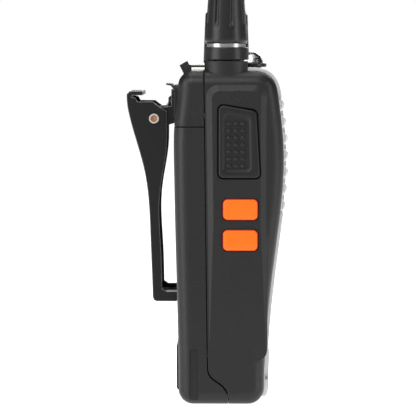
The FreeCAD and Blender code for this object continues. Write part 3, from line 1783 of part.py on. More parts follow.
# ---------------------------------------------------------------- the list of sub-parts
PARTS = {
    "front_housing": front_housing,
    "rear_frame": rear_frame,
    "housing_seal": housing_seal,
    "front_trim": front_trim,
    "grille_panel": grille_panel,
    "lower_panel": lower_panel,
    "blank_badge": badge,
    "grille_cloth": grille_cloth,
    "speaker": speaker,
    "speaker_gasket": speaker_gasket,
    "status_light": status_light,
    "mic_capsule": mic_capsule,
    "mic_boot": mic_boot,
    "talk_key": talk_key,
    "upper_side_key": lambda: small_key(0),
    "lower_side_key": lambda: small_key(1),
    "key_membrane": key_membrane,
    "side_board": side_board,
    "side_switches": side_switches,
    "channel_switch": lambda: control_body(channel_x),
    "channel_nut": lambda: control_nut(channel_x),
    "channel_shaft": lambda: control_shaft(channel_x),
    "channel_knob": lambda: knob(channel_x),
    "volume_switch": lambda: control_body(volume_x),
    "volume_nut": lambda: control_nut(volume_x),
    "volume_shaft": lambda: control_shaft(volume_x),
    "volume_knob": lambda: knob(volume_x),
    "torch_ring": torch_ring,
    "torch_lens": torch_lens,
    "torch_led": torch_led,
    "antenna_jack": antenna_jack,
    "antenna_insert": antenna_insert,
    "antenna_collar": antenna_collar,
    "antenna_sleeve": antenna_sleeve,
    "antenna_core": antenna_core,
    "lanyard_pin": lanyard_pin,
    "clip_bracket": clip_bracket,
    "clip_lever": clip_lever,
    "clip_pin": clip_pin,
    "clip_spring": clip_spring,
    "clip_screws": clip_screws,
    "battery_shell": battery_shell,
    "battery_lid": battery_lid,
    "battery_cell": battery_cell,
    "battery_board": battery_board,
    "battery_terminals": battery_terminals,
    "battery_label": battery_label,
    "battery_latch": battery_latch,
    "charge_contacts": charge_contacts,
    "jack_block": jack_block,
    "jack_sleeves": jack_sleeves,
    "jack_cover": jack_cover,
    "cover_strap": cover_strap,
    "chassis": chassis,
    "main_board": main_board,
    "board_screws": board_screws,
    "shield_can": shield_can,
    "frame_screws": frame_screws,
    "radio_terminals": radio_terminals,
}


def build():
    os.makedirs("parts", exist_ok=True)
    for name, make in PARTS.items():
        shape = make()
        valid = shape.isValid() and all(solid.isClosed() for solid in shape.Solids)
        print(name, "solids", len(shape.Solids), "volume", round(shape.Volume, 1), "valid", valid)
        shape.exportStep(f"parts/{name}.step")


build()
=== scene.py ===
# %% [markdown]
# # A handheld two-way radio
#
# This notebook gives a radio its looks. The radio's working parts come from a CAD model that is
# already the right size and in the right place: the case, the keys, the knobs, the antenna, the
# belt clip and the battery. What Blender adds is everything the eye reads as real: the grain of
# moulded plastic, the flakes in silver paint, the small pips on the talk key, a spring that is
# truly wound from wire, and edges that catch the light.
#
# All lengths are in metres, because the CAD frame is in metres, so a small helper turns
# millimetres into metres.

# %% Load the frame
import json
import math

import bmesh
import bpy
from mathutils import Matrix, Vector


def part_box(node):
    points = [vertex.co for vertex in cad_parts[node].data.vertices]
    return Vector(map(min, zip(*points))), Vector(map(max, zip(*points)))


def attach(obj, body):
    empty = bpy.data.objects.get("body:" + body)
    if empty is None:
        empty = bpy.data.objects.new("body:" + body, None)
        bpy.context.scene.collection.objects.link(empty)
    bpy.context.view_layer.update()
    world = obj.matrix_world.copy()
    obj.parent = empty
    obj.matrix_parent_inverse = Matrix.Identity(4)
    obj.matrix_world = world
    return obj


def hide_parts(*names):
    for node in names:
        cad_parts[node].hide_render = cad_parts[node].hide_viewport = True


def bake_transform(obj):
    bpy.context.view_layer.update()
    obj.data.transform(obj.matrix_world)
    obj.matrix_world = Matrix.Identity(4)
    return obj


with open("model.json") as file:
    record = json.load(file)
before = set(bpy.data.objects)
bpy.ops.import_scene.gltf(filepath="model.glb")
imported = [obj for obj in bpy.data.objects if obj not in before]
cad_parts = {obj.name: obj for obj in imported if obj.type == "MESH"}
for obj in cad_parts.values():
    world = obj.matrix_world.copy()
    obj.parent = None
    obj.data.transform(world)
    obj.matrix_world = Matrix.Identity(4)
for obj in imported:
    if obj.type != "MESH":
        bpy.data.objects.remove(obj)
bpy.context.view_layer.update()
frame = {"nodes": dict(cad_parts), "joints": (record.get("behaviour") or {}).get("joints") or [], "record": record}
nodes = frame["nodes"]
joints = {joint["name"]: joint for joint in frame["joints"]}


def mm(length):
    """Millimetres as metres."""
    return length * 0.001


# %% [markdown]
# ## The camera
#
# The view looks at the side with the talk key, from about half a metre, with the eye a little
# above the top of the case. A lens shift could keep the camera perfectly level, but a lens of
# this length hardly bends anything over so small a tilt, so the camera simply aims at the middle
# of the case.

# %% Camera
EYE = Vector((-0.529, -0.0007, 0.1026))
AIM = Vector((-0.029, 0.0052, 0.0579))

camera_data = bpy.data.cameras.new("camera")
camera_data.lens = 151.0
camera_data.clip_start, camera_data.clip_end = 0.01, 20
camera = bpy.data.objects.new("camera", camera_data)
camera.location = EYE
camera.rotation_euler = (AIM - EYE).to_track_quat("-Z", "Y").to_euler()
bpy.context.scene.collection.objects.link(camera)
bpy.context.scene.camera = camera
print("camera", round((AIM - EYE).length, 3), "m from what it looks at")

# %% [markdown]
# ## Floor and light
#
# Black plastic shows almost nothing of its own colour. What is seen is the studio reflected in
# it. Two tall soft panels stand half to the side and one stands over the camera, so they light
# the orange keys fully but miss the mirror direction of the flat side, which stays dark. Only the
# rounded edges, the ramp beside the seam and the antenna pick them up as pale streaks. A fourth
# panel overhead and a fifth behind light the other sides.
#
# The studio's walls have two brightnesses: white where the camera sees them, and almost black for
# every other ray, as if black cards stood just outside the picture. That is how a black object
# is lit on a white ground. The view transform is Standard, which keeps white paper white.


# %% Floor and lights
def soft_panel(name, place, target, width, height, power):
    """A soft light panel that faces its target."""
    data = bpy.data.lights.new(name, "AREA")
    data.shape = "RECTANGLE"
    data.size, data.size_y = width, height
    data.energy = power
    panel = bpy.data.objects.new(name, data)
    panel.location = place
    aim = Vector(target) - Vector(place)
    panel.rotation_euler = aim.to_track_quat("-Z", "Y").to_euler()
    bpy.context.scene.collection.objects.link(panel)


MIDDLE = (0, 0, 0.06)
WALL_SEEN, WALL_REFLECTED = 1.0, 0.10
soft_panel("rear_panel", (-0.48, 0.76, 0.30), MIDDLE, 0.55, 0.85, 5.2)
soft_panel("front_panel", (-0.46, -0.80, 0.30), MIDDLE, 0.35, 0.85, 3.0)
soft_panel("key_panel", (-0.62, 0.16, 0.62), MIDDLE, 0.6, 0.35, 3.4)
soft_panel("top_panel", (0.10, 0.0, 0.95), MIDDLE, 0.6, 0.6, 3.5)
soft_panel("far_panel", (0.85, -0.2, 0.45), MIDDLE, 0.6, 0.6, 4.0)

world = bpy.data.worlds.new("studio")
world.use_nodes = True
studio = world.node_tree
background = studio.nodes["Background"]
seen = studio.nodes.new("ShaderNodeLightPath")
level = studio.nodes.new("ShaderNodeMapRange")
level.inputs["To Min"].default_value = WALL_REFLECTED
level.inputs["To Max"].default_value = WALL_SEEN
studio.links.new(seen.outputs["Is Camera Ray"], level.inputs["Value"])
studio.links.new(level.outputs["Result"], background.inputs["Color"])
bpy.context.scene.world = world
bpy.context.scene.view_settings.view_transform = "Standard"

FLOOR_HALF = 6.0
floor_mesh = bpy.data.meshes.new("floor")
floor_signs = [(-1, -1), (1, -1), (1, 1), (-1, 1)]
floor_corners = [(x * FLOOR_HALF, y * FLOOR_HALF, 0) for x, y in floor_signs]
floor_mesh.from_pydata(floor_corners, [], [(0, 1, 2, 3)])
floor = bpy.data.objects.new("floor", floor_mesh)
bpy.context.scene.collection.objects.link(floor)
print(len(bpy.data.lights), "soft panels over a floor", FLOOR_HALF * 2, "m wide")

# %% [markdown]
# ## Node trees written as sums
#
# Node trees are easier to read as arithmetic. `Value` wraps one socket, and each operator on it
# adds one Math node, so `1 - mask * 0.3` builds the nodes that it says. `Nodes` holds a tree and
# has one method, `node`, for every other kind of node: its settings come first, then the values
# or links of its sockets. Materials and geometry share both classes, because Blender builds both
# from the same Math nodes.


# %% The two small classes that write node trees
class Value:
    """A socket that can be used in arithmetic: each operator adds a Math node."""

    def __init__(self, tree, socket):
        self.tree = tree
        self.socket = socket

    def math(self, operation, first, second=0.0):
        node = self.tree.nodes.new("ShaderNodeMath")
        node.operation = operation
        for slot, item in zip(node.inputs, (first, second)):
            plug(self.tree, slot, item)
        return Value(self.tree, node.outputs[0])

    def __add__(self, other):
        return self.math("ADD", self, other)

    def __sub__(self, other):
        return self.math("SUBTRACT", self, other)

    def __rsub__(self, other):
        return self.math("SUBTRACT", other, self)

    def __mul__(self, other):
        return self.math("MULTIPLY", self, other)

    def __truediv__(self, other):
        return self.math("DIVIDE", self, other)

    def __pow__(self, other):
        return self.math("POWER", self, other)

    def __gt__(self, other):
        return self.math("GREATER_THAN", self, other)

    def __abs__(self):
        return self.math("ABSOLUTE", self)

    def least(self, other):
        return self.math("MINIMUM", self, other)

    def most(self, other):
        return self.math("MAXIMUM", self, other)

    __radd__ = __add__
    __rmul__ = __mul__


def plug(tree, slot, item):
    """Links a Value to a socket, or sets the socket to a number, a colour or a vector."""
    if isinstance(item, Value):
        tree.links.new(item.socket, slot)
    elif slot.type == "RGBA":
        slot.default_value = (*item[:3], 1.0)
    else:
        slot.default_value = item


class Nodes:
    """A node tree, with one method that adds any node."""

    def __init__(self, tree):
        self.tree = tree

    def node(self, kind, settings=None, sockets=None, output=0):
        """Adds a node: its settings first, then the values or links of its sockets."""
        made = self.tree.nodes.new(kind)
        for key, item in (settings or {}).items():
            if key == "stops":
                ramp = made.color_ramp
                while len(ramp.elements) < len(item):
                    ramp.elements.new(0.5)
                for element, (position, shade) in zip(ramp.elements, item):
                    element.position = position
                    element.color = (shade, shade, shade, 1)
            else:
                setattr(made, key, item)
        for key, item in (sockets or {}).items():
            plug(self.tree, made.inputs[key], item)
        return Value(self.tree, made.outputs[output])


# %% [markdown]
# ## One class for every finish
#
# A finish is a Principled shader with a few habits of its own. It reads Object coordinates, so
# a pattern stays the same size on a large shell and on a small key. `edge` measures how near a
# point is to a sharp edge: the Bevel node gives the normal that a rounded edge would have, and
# where that differs from the real one there is an edge. Painted steel gets a pale line there,
# partly wear and partly a painted highlight, and moulded plastic just looks softer.


# %% The class for finishes
class Finish(Nodes):
    """One material, whose Principled shader takes numbers or Values."""

    def __init__(self, name, **surface):
        self.material = bpy.data.materials.new(name)
        self.material.use_nodes = True
        super().__init__(self.material.node_tree)
        self.shader = self.tree.nodes["Principled BSDF"]
        self.place = self.node("ShaderNodeTexCoord", output="Object")
        for socket, item in surface.items():
            self.set(socket.replace("_", " "), item)

    def set(self, socket, item):
        plug(self.tree, self.shader.inputs[socket], item)

    def stretched(self, scale, move=(0, 0, 0)):
        """Object coordinates, moved and then scaled by a different amount along each axis."""
        sockets = {"Vector": self.place, "Scale": scale, "Location": move}
        return self.node("ShaderNodeMapping", {}, sockets)

    def axis(self, letter):
        """One object coordinate, in metres."""
        return self.node("ShaderNodeSeparateXYZ", {}, {"Vector": self.place}, output=letter)

    def noise(self, size, detail=2.0, scale=None):
        """Cloudy noise from 0 to 1 whose patches are about size metres across."""
        place = self.stretched(scale) if scale else self.place
        sockets = {"Vector": place, "Scale": 1 / size, "Detail": detail}
        return self.node("ShaderNodeTexNoise", {}, sockets)

    def cells(self, size, feature="F1", output="Distance"):
        """Scattered cells about size metres across: a distance, or a random shade per cell."""
        sockets = {"Vector": self.place, "Scale": 1 / size}
        return self.node("ShaderNodeTexVoronoi", {"feature": feature}, sockets, output)

    def waves(self, size, direction):
        """Even waves along one axis, size metres from crest to crest."""
        settings = {"wave_type": "BANDS", "bands_direction": direction}
        sockets = {"Vector": self.place, "Scale": 1 / (size * 3.1416) * 0.5}
        return self.node("ShaderNodeTexWave", settings, sockets)

    def ramp(self, value, *stops):
        return self.node("ShaderNodeValToRGB", {"stops": stops}, {"Fac": value})

    def mix(self, share, first, second):
        """A colour between two colours."""
        sockets = {0: share, 6: first, 7: second}
        return self.node("ShaderNodeMix", {"data_type": "RGBA"}, sockets, output=2)

    def rounded(self, radius):
        """The normal that the surface would have if its edges were rounded."""
        return self.node("ShaderNodeBevel", {"samples": 4}, {"Radius": radius})

    def edge(self, radius):
        """Near 1 on sharp edges and 0 elsewhere."""
        plain = self.node("ShaderNodeNewGeometry", output="Normal")
        sockets = {0: self.rounded(radius), 1: plain}
        same = self.node("ShaderNodeVectorMath", {"operation": "DOT_PRODUCT"}, sockets, "Value")
        return self.ramp(1 - same, (0.02, 0), (0.22, 1))

    def bump(self, height, depth, under=None):
        """Bends the surface's normal by a height of up to depth metres."""
        sockets = {"Height": height, "Distance": depth}
        if under:
            sockets["Normal"] = under
        self.set("Normal", self.node("ShaderNodeBump", {}, sockets))


# %% [markdown]
# ## Floor paper
#
# The floor is white paper with painted light: it glows of its own, to stand in for paper lit from
# all round. The glow is weaker in a round pool in front of the radio's side, a painted shadow, so
# that the black plastic has something darker than white to reflect. The camera sees only the
# pool's pale rim.

# %% Floor paper
SHADOW_POOL_FROM_RADIO = 0.36
paper = Finish("floor_paper", Roughness=0.15, Emission_Strength=1.0)
paper.set("Base Color", paper.mix(paper.noise(0.4), (0.66, 0.67, 0.68), (0.72, 0.72, 0.72)))
from_shadow_pool = ((paper.axis("X") + SHADOW_POOL_FROM_RADIO) ** 2 + paper.axis("Y") ** 2) ** 0.5
# The emission is painted light, weakest in a painted shadow pool in front of the radio.
paper.set("Emission Color", paper.ramp(from_shadow_pool / SHADOW_POOL_FROM_RADIO, (0.35, 0.30), (1.0, 0.95)))
floor_mesh.materials.append(paper.material)
print("paper glows least", SHADOW_POOL_FROM_RADIO, "m in front of the radio")

# %% [markdown]
# ## Moulded black plastic and rubber
#
# A radio's case is moulded in a steel tool whose surface was eaten by acid or sparks, so the
# plastic comes out with a fine even grain. Under a soft lamp the grain breaks the reflection up
# and turns black into a very dark grey. Three scales do it: grain of a third of a millimetre in
# the bump, a faint mottling of the colour at a few millimetres, and a slow change of roughness
# where hands have polished it. Rubber is the same recipe with less shine.


# %% Black plastic and rubber
def moulded(name, colour, rough, grain=0.00035, depth=0.00002, edge=0.0):
    """Moulded plastic or rubber with an even grain, and soft edges if a radius is given."""
    made = Finish(name, Specular_IOR_Level=0.38)
    patches = made.noise(0.006, 3.0)
    specks = made.noise(grain, 2.0)
    handled = made.noise(0.02, 2.0)
    lighter = tuple(c * 1.3 + 0.001 for c in colour)
    made.set("Base Color", made.mix(patches, colour, lighter))
    made.set("Roughness", rough - 0.06 + handled * 0.12 + (specks - 0.5) * 0.12)
    made.bump(specks, depth, made.rounded(edge) if edge else None)
    return made.material


leathery = {"grain": 0.0006, "depth": 0.00006, "edge": mm(0.25)}
case_plastic = moulded("case_plastic", (0.0062, 0.0062, 0.0061), 0.44, **leathery)
battery_plastic = moulded("battery_plastic", (0.0064, 0.0064, 0.0063), 0.42, **leathery)
grille_plastic = moulded("grille_plastic", (0.010, 0.010, 0.0105), 0.40, grain=0.0005)
latch_plastic = moulded("latch_plastic", (0.010, 0.010, 0.0105), 0.36, depth=0.00001)
talk_rubber = moulded("talk_rubber", (0.0040, 0.0040, 0.0042), 0.40, grain=0.0003)
cover_rubber = moulded("cover_rubber", (0.012, 0.012, 0.012), 0.60, grain=0.0004)
antenna_rubber = moulded("antenna_rubber", (0.0085, 0.0090, 0.0087), 0.34, 0.0004, 0.000008)
seal_rubber = moulded("seal_rubber", (0.018, 0.018, 0.018), 0.70)
knob_plastic = moulded("knob_plastic", (0.007, 0.007, 0.0075), 0.24, grain=0.0006, depth=0.000004)
torch_plastic = moulded("torch_plastic", (0.007, 0.007, 0.0075), 0.28, depth=0.000004)
switch_plastic = moulded("switch_plastic", (0.014, 0.014, 0.014), 0.50)
print(len(bpy.data.materials), "materials so far")

# %% [markdown]
# ## Silver paint
#
# The trim is plastic sprayed with silver paint. The paint holds tiny flakes of aluminium that
# each face a slightly different way, so it glitters faintly and looks softer than bare metal.
# Small cells with a random shade give each flake its own brightness and roughness.

# %% Silver paint
silver = Finish("trim_silver_paint", Metallic=0.75, Coat_Roughness=0.2)
flakes = silver.cells(0.00022, output="Color")
flake_shade = silver.node("ShaderNodeSeparateColor", {}, {"Color": flakes})
scuffs = silver.noise(0.0016, 4.0, scale=(1, 1, 0.35))
glitter = flake_shade * 0.5 + scuffs * 0.5
silver.set("Base Color", silver.mix(glitter, (0.58, 0.58, 0.585), (0.68, 0.68, 0.68)))
silver.set("Roughness", 0.36 + flake_shade * 0.08 + scuffs * 0.08)
silver.set("Coat Weight", 0.15 + scuffs * 0.2)
silver.bump(flake_shade, 0.0000015, silver.rounded(mm(0.2)))
print(silver.material.name, "has", len(silver.tree.nodes), "nodes")

# %% [markdown]
# ## Orange keys
#
# The two small keys are silicone dyed through, so light enters a little and the colour stays full
# to the very edge. Below its face each cap is painted a dark red shade, which shows as a thin line
# in the gap round it. A thin skin of dust and handling makes the shine uneven.

# %% Orange silicone
orange = Finish("orange_silicone", Subsurface_Weight=0.12, Specular_IOR_Level=0.3)
orange.set("Subsurface Scale", 0.0006)
orange_patches = orange.noise(0.003, 3.0)
dyed = orange.mix(orange_patches, (0.95, 0.132, 0.002), (1.0, 0.158, 0.004))
# Below the face the keys get a painted shade of dark red, for the gap round each cap.
shaded_below_face = orange.axis("X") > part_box("upper_side_key")[0].x + mm(0.6)
orange.set("Base Color", orange.mix(shaded_below_face, dyed, (0.30, 0.006, 0.004)))
orange.set("Roughness", 0.36 + orange.noise(0.0009) * 0.16)
orange.bump(orange.noise(0.0003), 0.000012)
print(orange.material.name, "has", len(orange.tree.nodes), "nodes")

# %% [markdown]
# ## Metals
#
# Plated steel, gold, spring wire and cast alloy differ in colour, in how rough they are, and in
# the direction of their fine scratches: a turned pin is scratched round its axis, wire is
# scratched along its length. Noise that is squeezed along one axis draws the scratches, and a
# second, larger noise dulls the metal in patches.


# %% Metals
def metal(name, colour, rough, scratch=(1, 1, 8), depth=0.000002, dull=0.12):
    """Bare or plated metal with fine scratches across the axis that is scaled up."""
    made = Finish(name, Metallic=1.0)
    scratches = made.noise(0.0008, 3.0, scale=scratch)
    tarnish = made.noise(0.003, 3.0)
    darker = tuple(c * 0.72 for c in colour)
    made.set("Base Color", made.mix(tarnish, colour, darker))
    made.set("Roughness", rough + tarnish * dull + scratches * 0.08)
    made.bump(scratches, depth)
    return made.material


nickel = metal("nickel_plate", (0.74, 0.73, 0.70), 0.16)
socket_plate = metal("socket_plate", (0.70, 0.69, 0.66), 0.18, scratch=(8, 1, 1))
gold_plate = metal("gold_plate", (0.86, 0.62, 0.24), 0.20)
spring_wire_steel = metal("spring_wire_steel", (0.46, 0.46, 0.47), 0.26, scratch=(1, 6, 6))
shaft_alloy = metal("shaft_alloy", (0.66, 0.66, 0.67), 0.28)
cast_alloy = metal("cast_alloy", (0.55, 0.55, 0.56), 0.42, scratch=(1, 1, 1), depth=0.00001)
tinned_steel = metal("tinned_steel", (0.62, 0.63, 0.64), 0.30, scratch=(6, 1, 1))
speaker_steel = metal("speaker_steel", (0.36, 0.36, 0.37), 0.38)
blackened_steel = metal("blackened_steel", (0.07, 0.07, 0.075), 0.34)
print(len(bpy.data.materials), "materials so far")

# %% [markdown]
# ## The antenna's insert
#
# The insert is plated, but below the band its thread and its lower face are painted near-black as
# shade, so that nothing glints under the collar. Only the band in the groove over the collar
# shows bright metal. The height of the sleeve's foot says where the band is.

# %% The insert's band
band = Finish("insert_band", Metallic=1.0)
above_painted_shade = band.axis("Z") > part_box("antenna_sleeve")[0].z - mm(1.4)
band_rings = band.noise(0.0006, 2.0, scale=(0.2, 0.2, 4))
# Below the band the insert is painted near-black: a painted shade under the collar.
band.set("Base Color", band.mix(above_painted_shade, (0.012, 0.012, 0.013), (0.42, 0.42, 0.41)))
band.set("Roughness", 0.20 + band_rings * 0.12)
band.bump(band_rings, 0.000003)
print(band.material.name, "has", len(band.tree.nodes), "nodes")

# %% [markdown]
# ## The clip's black enamel and its rivet
#
# The clip is pressed from spring steel and enamelled black. Its edges are painted with a pale
# line, partly worn enamel where the steel shows through and partly a painted highlight. The
# rivet's hollow head is bright round the rim and copper-brown inside, where the plating didn't
# reach; the distance from the rivet's own axis, which the clip's joint gives, tells the two apart.

# %% Enamelled steel and the rivet
enamel = Finish("clip_enamel", Specular_IOR_Level=0.3, Coat_Weight=0.12, Coat_Roughness=0.12)
edge_wear_and_highlight = enamel.edge(mm(0.5))
enamel_specks = enamel.noise(0.0005, 3.0)
# The pale edge line is partly wear and partly a painted highlight.
enamel.set("Base Color", enamel.mix(edge_wear_and_highlight * 0.8, (0.0030, 0.0030, 0.0032), (0.34, 0.34, 0.33)))
enamel.set("Roughness", 0.30 + enamel.noise(0.008) * 0.14 + enamel_specks * 0.05)
enamel.set("Metallic", edge_wear_and_highlight * 0.5)
enamel.bump(enamel_specks, 0.000006, enamel.rounded(mm(0.35)))

hinge_y, hinge_z = joints["clip_hinge"]["pos_m"][1:]
RIVET_HOLLOW = mm(1.06)
rivet = Finish("rivet_steel", Metallic=1.0)
from_axis = ((rivet.axis("Y") - hinge_y) ** 2 + (rivet.axis("Z") - hinge_z) ** 2) ** 0.5
rivet_rim = from_axis > RIVET_HOLLOW
rivet_stain = rivet.noise(0.0007, 3.0)
copper = rivet.mix(rivet_stain, (0.36, 0.17, 0.10), (0.60, 0.34, 0.22))
rivet.set("Base Color", rivet.mix(rivet_rim, copper, (0.78, 0.77, 0.74)))
rivet.set("Roughness", 0.46 - rivet_rim * 0.24 + rivet_stain * 0.14)
rivet.bump(rivet_stain, 0.000012)
print("rivet axis at", round(hinge_y * 1000, 2), round(hinge_z * 1000, 2), "mm")

# %% [markdown]
# ## Cloth, membrane, board, cell and label
#
# These are mostly hidden, but each has its own look: woven dust cloth behind the grille, milky
# silicone, a lacquered board with copper tracks, a foil cell and a printed label. The label is
# blank apart from a plain frame line.

# %% Soft and inner finishes
cloth = Finish("dust_cloth", Sheen_Weight=0.3)
weave = cloth.waves(0.0003, "X") * 0.5 + cloth.waves(0.0003, "Z") * 0.5
cloth.set("Base Color", cloth.mix(weave, (0.004, 0.004, 0.004), (0.02, 0.02, 0.021)))
cloth.set("Roughness", 0.8 + weave * 0.15)
cloth.bump(weave, 0.00008)

silicone = Finish("membrane_silicone", Subsurface_Weight=0.3, Subsurface_Scale=0.001)
milk = silicone.mix(silicone.noise(0.004), (0.42, 0.42, 0.40), (0.55, 0.55, 0.52))
silicone.set("Base Color", milk)
silicone.set("Roughness", 0.42 + silicone.noise(0.001) * 0.15)

board = Finish("board_lacquer", Coat_Weight=0.5, Coat_Roughness=0.15)
tracks = board.cells(0.0022, feature="DISTANCE_TO_EDGE") > 0.12
board.set("Base Color", board.mix(tracks, (0.020, 0.11, 0.045), (0.008, 0.055, 0.022)))
board.set("Roughness", 0.34 + board.noise(0.002) * 0.12)
board.bump(tracks, 0.00002)

foil = Finish("cell_foil", Metallic=0.6)
foil_folds = foil.noise(0.012, 4.0)
foil.set("Base Color", foil.mix(foil_folds, (0.30, 0.31, 0.33), (0.46, 0.47, 0.49)))
foil.set("Roughness", 0.30 + foil_folds * 0.2)
foil.bump(foil_folds, 0.00008)

label_low, label_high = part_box("battery_label")
label_mid_z = (label_low.z + label_high.z) / 2
FRAME_INSET, FRAME_LINE = mm(1.2), mm(0.25)
label = Finish("label_film", Coat_Weight=0.2)
from_side = (label_high.x - FRAME_INSET) - abs(label.axis("X"))
from_end = (label_high.z - label_mid_z - FRAME_INSET) - abs(label.axis("Z") - label_mid_z)
frame_line = FRAME_LINE - abs(from_side.least(from_end))
fibres = label.noise(0.0006, 3.0)
label_grey = label.mix(fibres, (0.26, 0.265, 0.27), (0.33, 0.335, 0.34))
label.set("Base Color", label.mix(frame_line > 0, label_grey, (0.05, 0.05, 0.05)))
label.set("Roughness", 0.42 + fibres * 0.12)
label.bump(fibres, 0.000006)

badge = Finish("badge_plate", Metallic=0.9)
brushed = badge.noise(0.0005, 3.0, scale=(0.05, 1, 1))
badge.set("Base Color", badge.mix(brushed, (0.30, 0.30, 0.31), (0.44, 0.44, 0.45)))
badge.set("Roughness", 0.26 + brushed * 0.16)
badge.bump(brushed, 0.000004, badge.rounded(mm(0.15)))
print("label", [round(size * 1000, 1) for size in label_high - label_low], "mm")

# %% [markdown]
# ## Clear plastic and lamps
#
# The torch dome and the indicator are clear plastic. Clear parts need real transmission, and a
# hint of waviness in the normal, because a moulded dome is never optically perfect.

# %% Clear plastic and lamps
dome = Finish("torch_clear", Transmission_Weight=1.0, IOR=1.49)
dome.set("Base Color", dome.mix(dome.noise(0.002), (0.93, 0.95, 0.96), (0.99, 0.99, 0.99)))
dome.set("Roughness", 0.02 + dome.noise(0.0012) * 0.03)
dome.bump(dome.noise(0.0015), 0.00002)

light_guide = Finish("light_guide", Transmission_Weight=0.7, IOR=1.49)
smoke = light_guide.noise(0.001)
light_guide.set("Base Color", light_guide.mix(smoke, (0.72, 0.75, 0.72), (0.88, 0.9, 0.88)))
light_guide.set("Roughness", 0.14 + light_guide.noise(0.0006) * 0.1)

led = Finish("led_white", IOR=1.5)
phosphor = led.noise(0.0005, 3.0)
led.set("Base Color", led.mix(phosphor, (0.86, 0.80, 0.42), (0.92, 0.90, 0.72)))
led.set("Roughness", 0.2 + phosphor * 0.2)
print(len(bpy.data.materials), "materials in all but the paint")

# %% [markdown]
# ## Every CAD node gets its finish
#
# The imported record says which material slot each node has, so one table from slot to finish
# dresses the whole radio. A missing slot would leave a node grey, so the cell stops if the table
# has a gap.

# %% Dress the CAD nodes
looks = {
    "case_black": case_plastic,
    "battery_black": battery_plastic,
    "seal_rubber": seal_rubber,
    "trim_silver": silver.material,
    "grille_black": grille_plastic,
    "badge_satin": badge.material,
    "dust_cloth": cloth.material,
    "speaker_steel": speaker_steel,
    "light_guide": light_guide.material,
    "tinned_steel": tinned_steel,
    "talk_rubber": talk_rubber,
    "key_orange": orange.material,
    "membrane_silicone": silicone.material,
    "board_green": board.material,
    "switch_black": switch_plastic,
    "shaft_alloy": shaft_alloy,
    "knob_black": knob_plastic,
    "torch_black": torch_plastic,
    "torch_clear": dome.material,
    "led_white": led.material,
    "socket_brass": band.material,
    "antenna_rubber": antenna_rubber,
    "spring_steel": spring_wire_steel,
    "bright_steel": nickel,
    "clip_black": enamel.material,
    "pin_steel": rivet.material,
    "screw_black": blackened_steel,
    "cell_can": foil.material,
    "contact_gold": gold_plate,
    "label_grey": label.material,
    "latch_black": latch_plastic,
    "socket_plated": socket_plate,
    "cover_rubber": cover_rubber,
    "chassis_alloy": cast_alloy,
}
slot_of = {part["node"]: part["material_slot"] for part in frame["record"]["subparts"]}
for name, node in nodes.items():
    node.data.materials.clear()
    node.data.materials.append(looks[slot_of[name]])
print("dressed", len(nodes), "nodes from", len(looks), "slots")

# %% [markdown]
# ## Tools for making pieces
#
# Two ways of making a mesh cover the pieces below. A *skin* stretches faces over a stack of
# rings, each with the same number of points: it suits caps, bands and anything with a stepped
# edge. A *recipe* is a Geometry Nodes tree with named sizes, run once and kept as a plain mesh:
# it suits what repeats or follows a path.


# %% Skins over rings of points
def show(name, mesh, finish, body=None, instead_of=()):
    """Makes a mesh a piece of the radio, riding on a body, in place of the named CAD nodes."""
    piece = bpy.data.objects.new(name, mesh)
    bpy.context.scene.collection.objects.link(piece)
    mesh.materials.clear()
    mesh.materials.append(finish)
    if body:
        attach(piece, body)
    if instead_of:
        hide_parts(*instead_of)
    print(name, len(mesh.polygons), "faces")
    return piece


def skin(name, rings, sharp=40):
    """A closed mesh over a stack of rings, smooth except where it turns by more than sharp."""
    shell = bmesh.new()
    loops = [[shell.verts.new(point) for point in ring] for ring in rings]
    count = len(rings[0])
    for low, high in zip(loops, loops[1:]):
        for i in range(count):
            j = (i + 1) % count
            shell.faces.new((low[i], low[j], high[j], high[i]))
    shell.faces.new(loops[0])
    shell.faces.new(loops[-1])
    bmesh.ops.recalc_face_normals(shell, faces=shell.faces)
    mesh = bpy.data.meshes.new(name)
    shell.to_mesh(mesh)
    shell.free()
    for polygon in mesh.polygons:
        polygon.use_smooth = True
    mesh.set_sharp_from_angle(angle=math.radians(sharp))
    return mesh


def rounded_ring(corners, radius, place, steps=7):
    """Points round a flat outline with rounded corners; place turns each (u, v) into a point."""
    ring = []
    count = len(corners)
    for i, corner in enumerate(corners):
        here = Vector(corner)
        before = (Vector(corners[i - 1]) - here).normalized()
        after = (Vector(corners[(i + 1) % count]) - here).normalized()
        half_angle = before.angle(after) / 2
        centre = here + (before + after).normalized() * (radius / math.sin(half_angle))
        first = here + before * (radius / math.tan(half_angle)) - centre
        last = here + after * (radius / math.tan(half_angle)) - centre
        for step in range(steps + 1):
            share = step / steps
            spoke = (first * (1 - share) + last * share).normalized() * radius
            ring.append(place(*(centre + spoke)))
    return ring


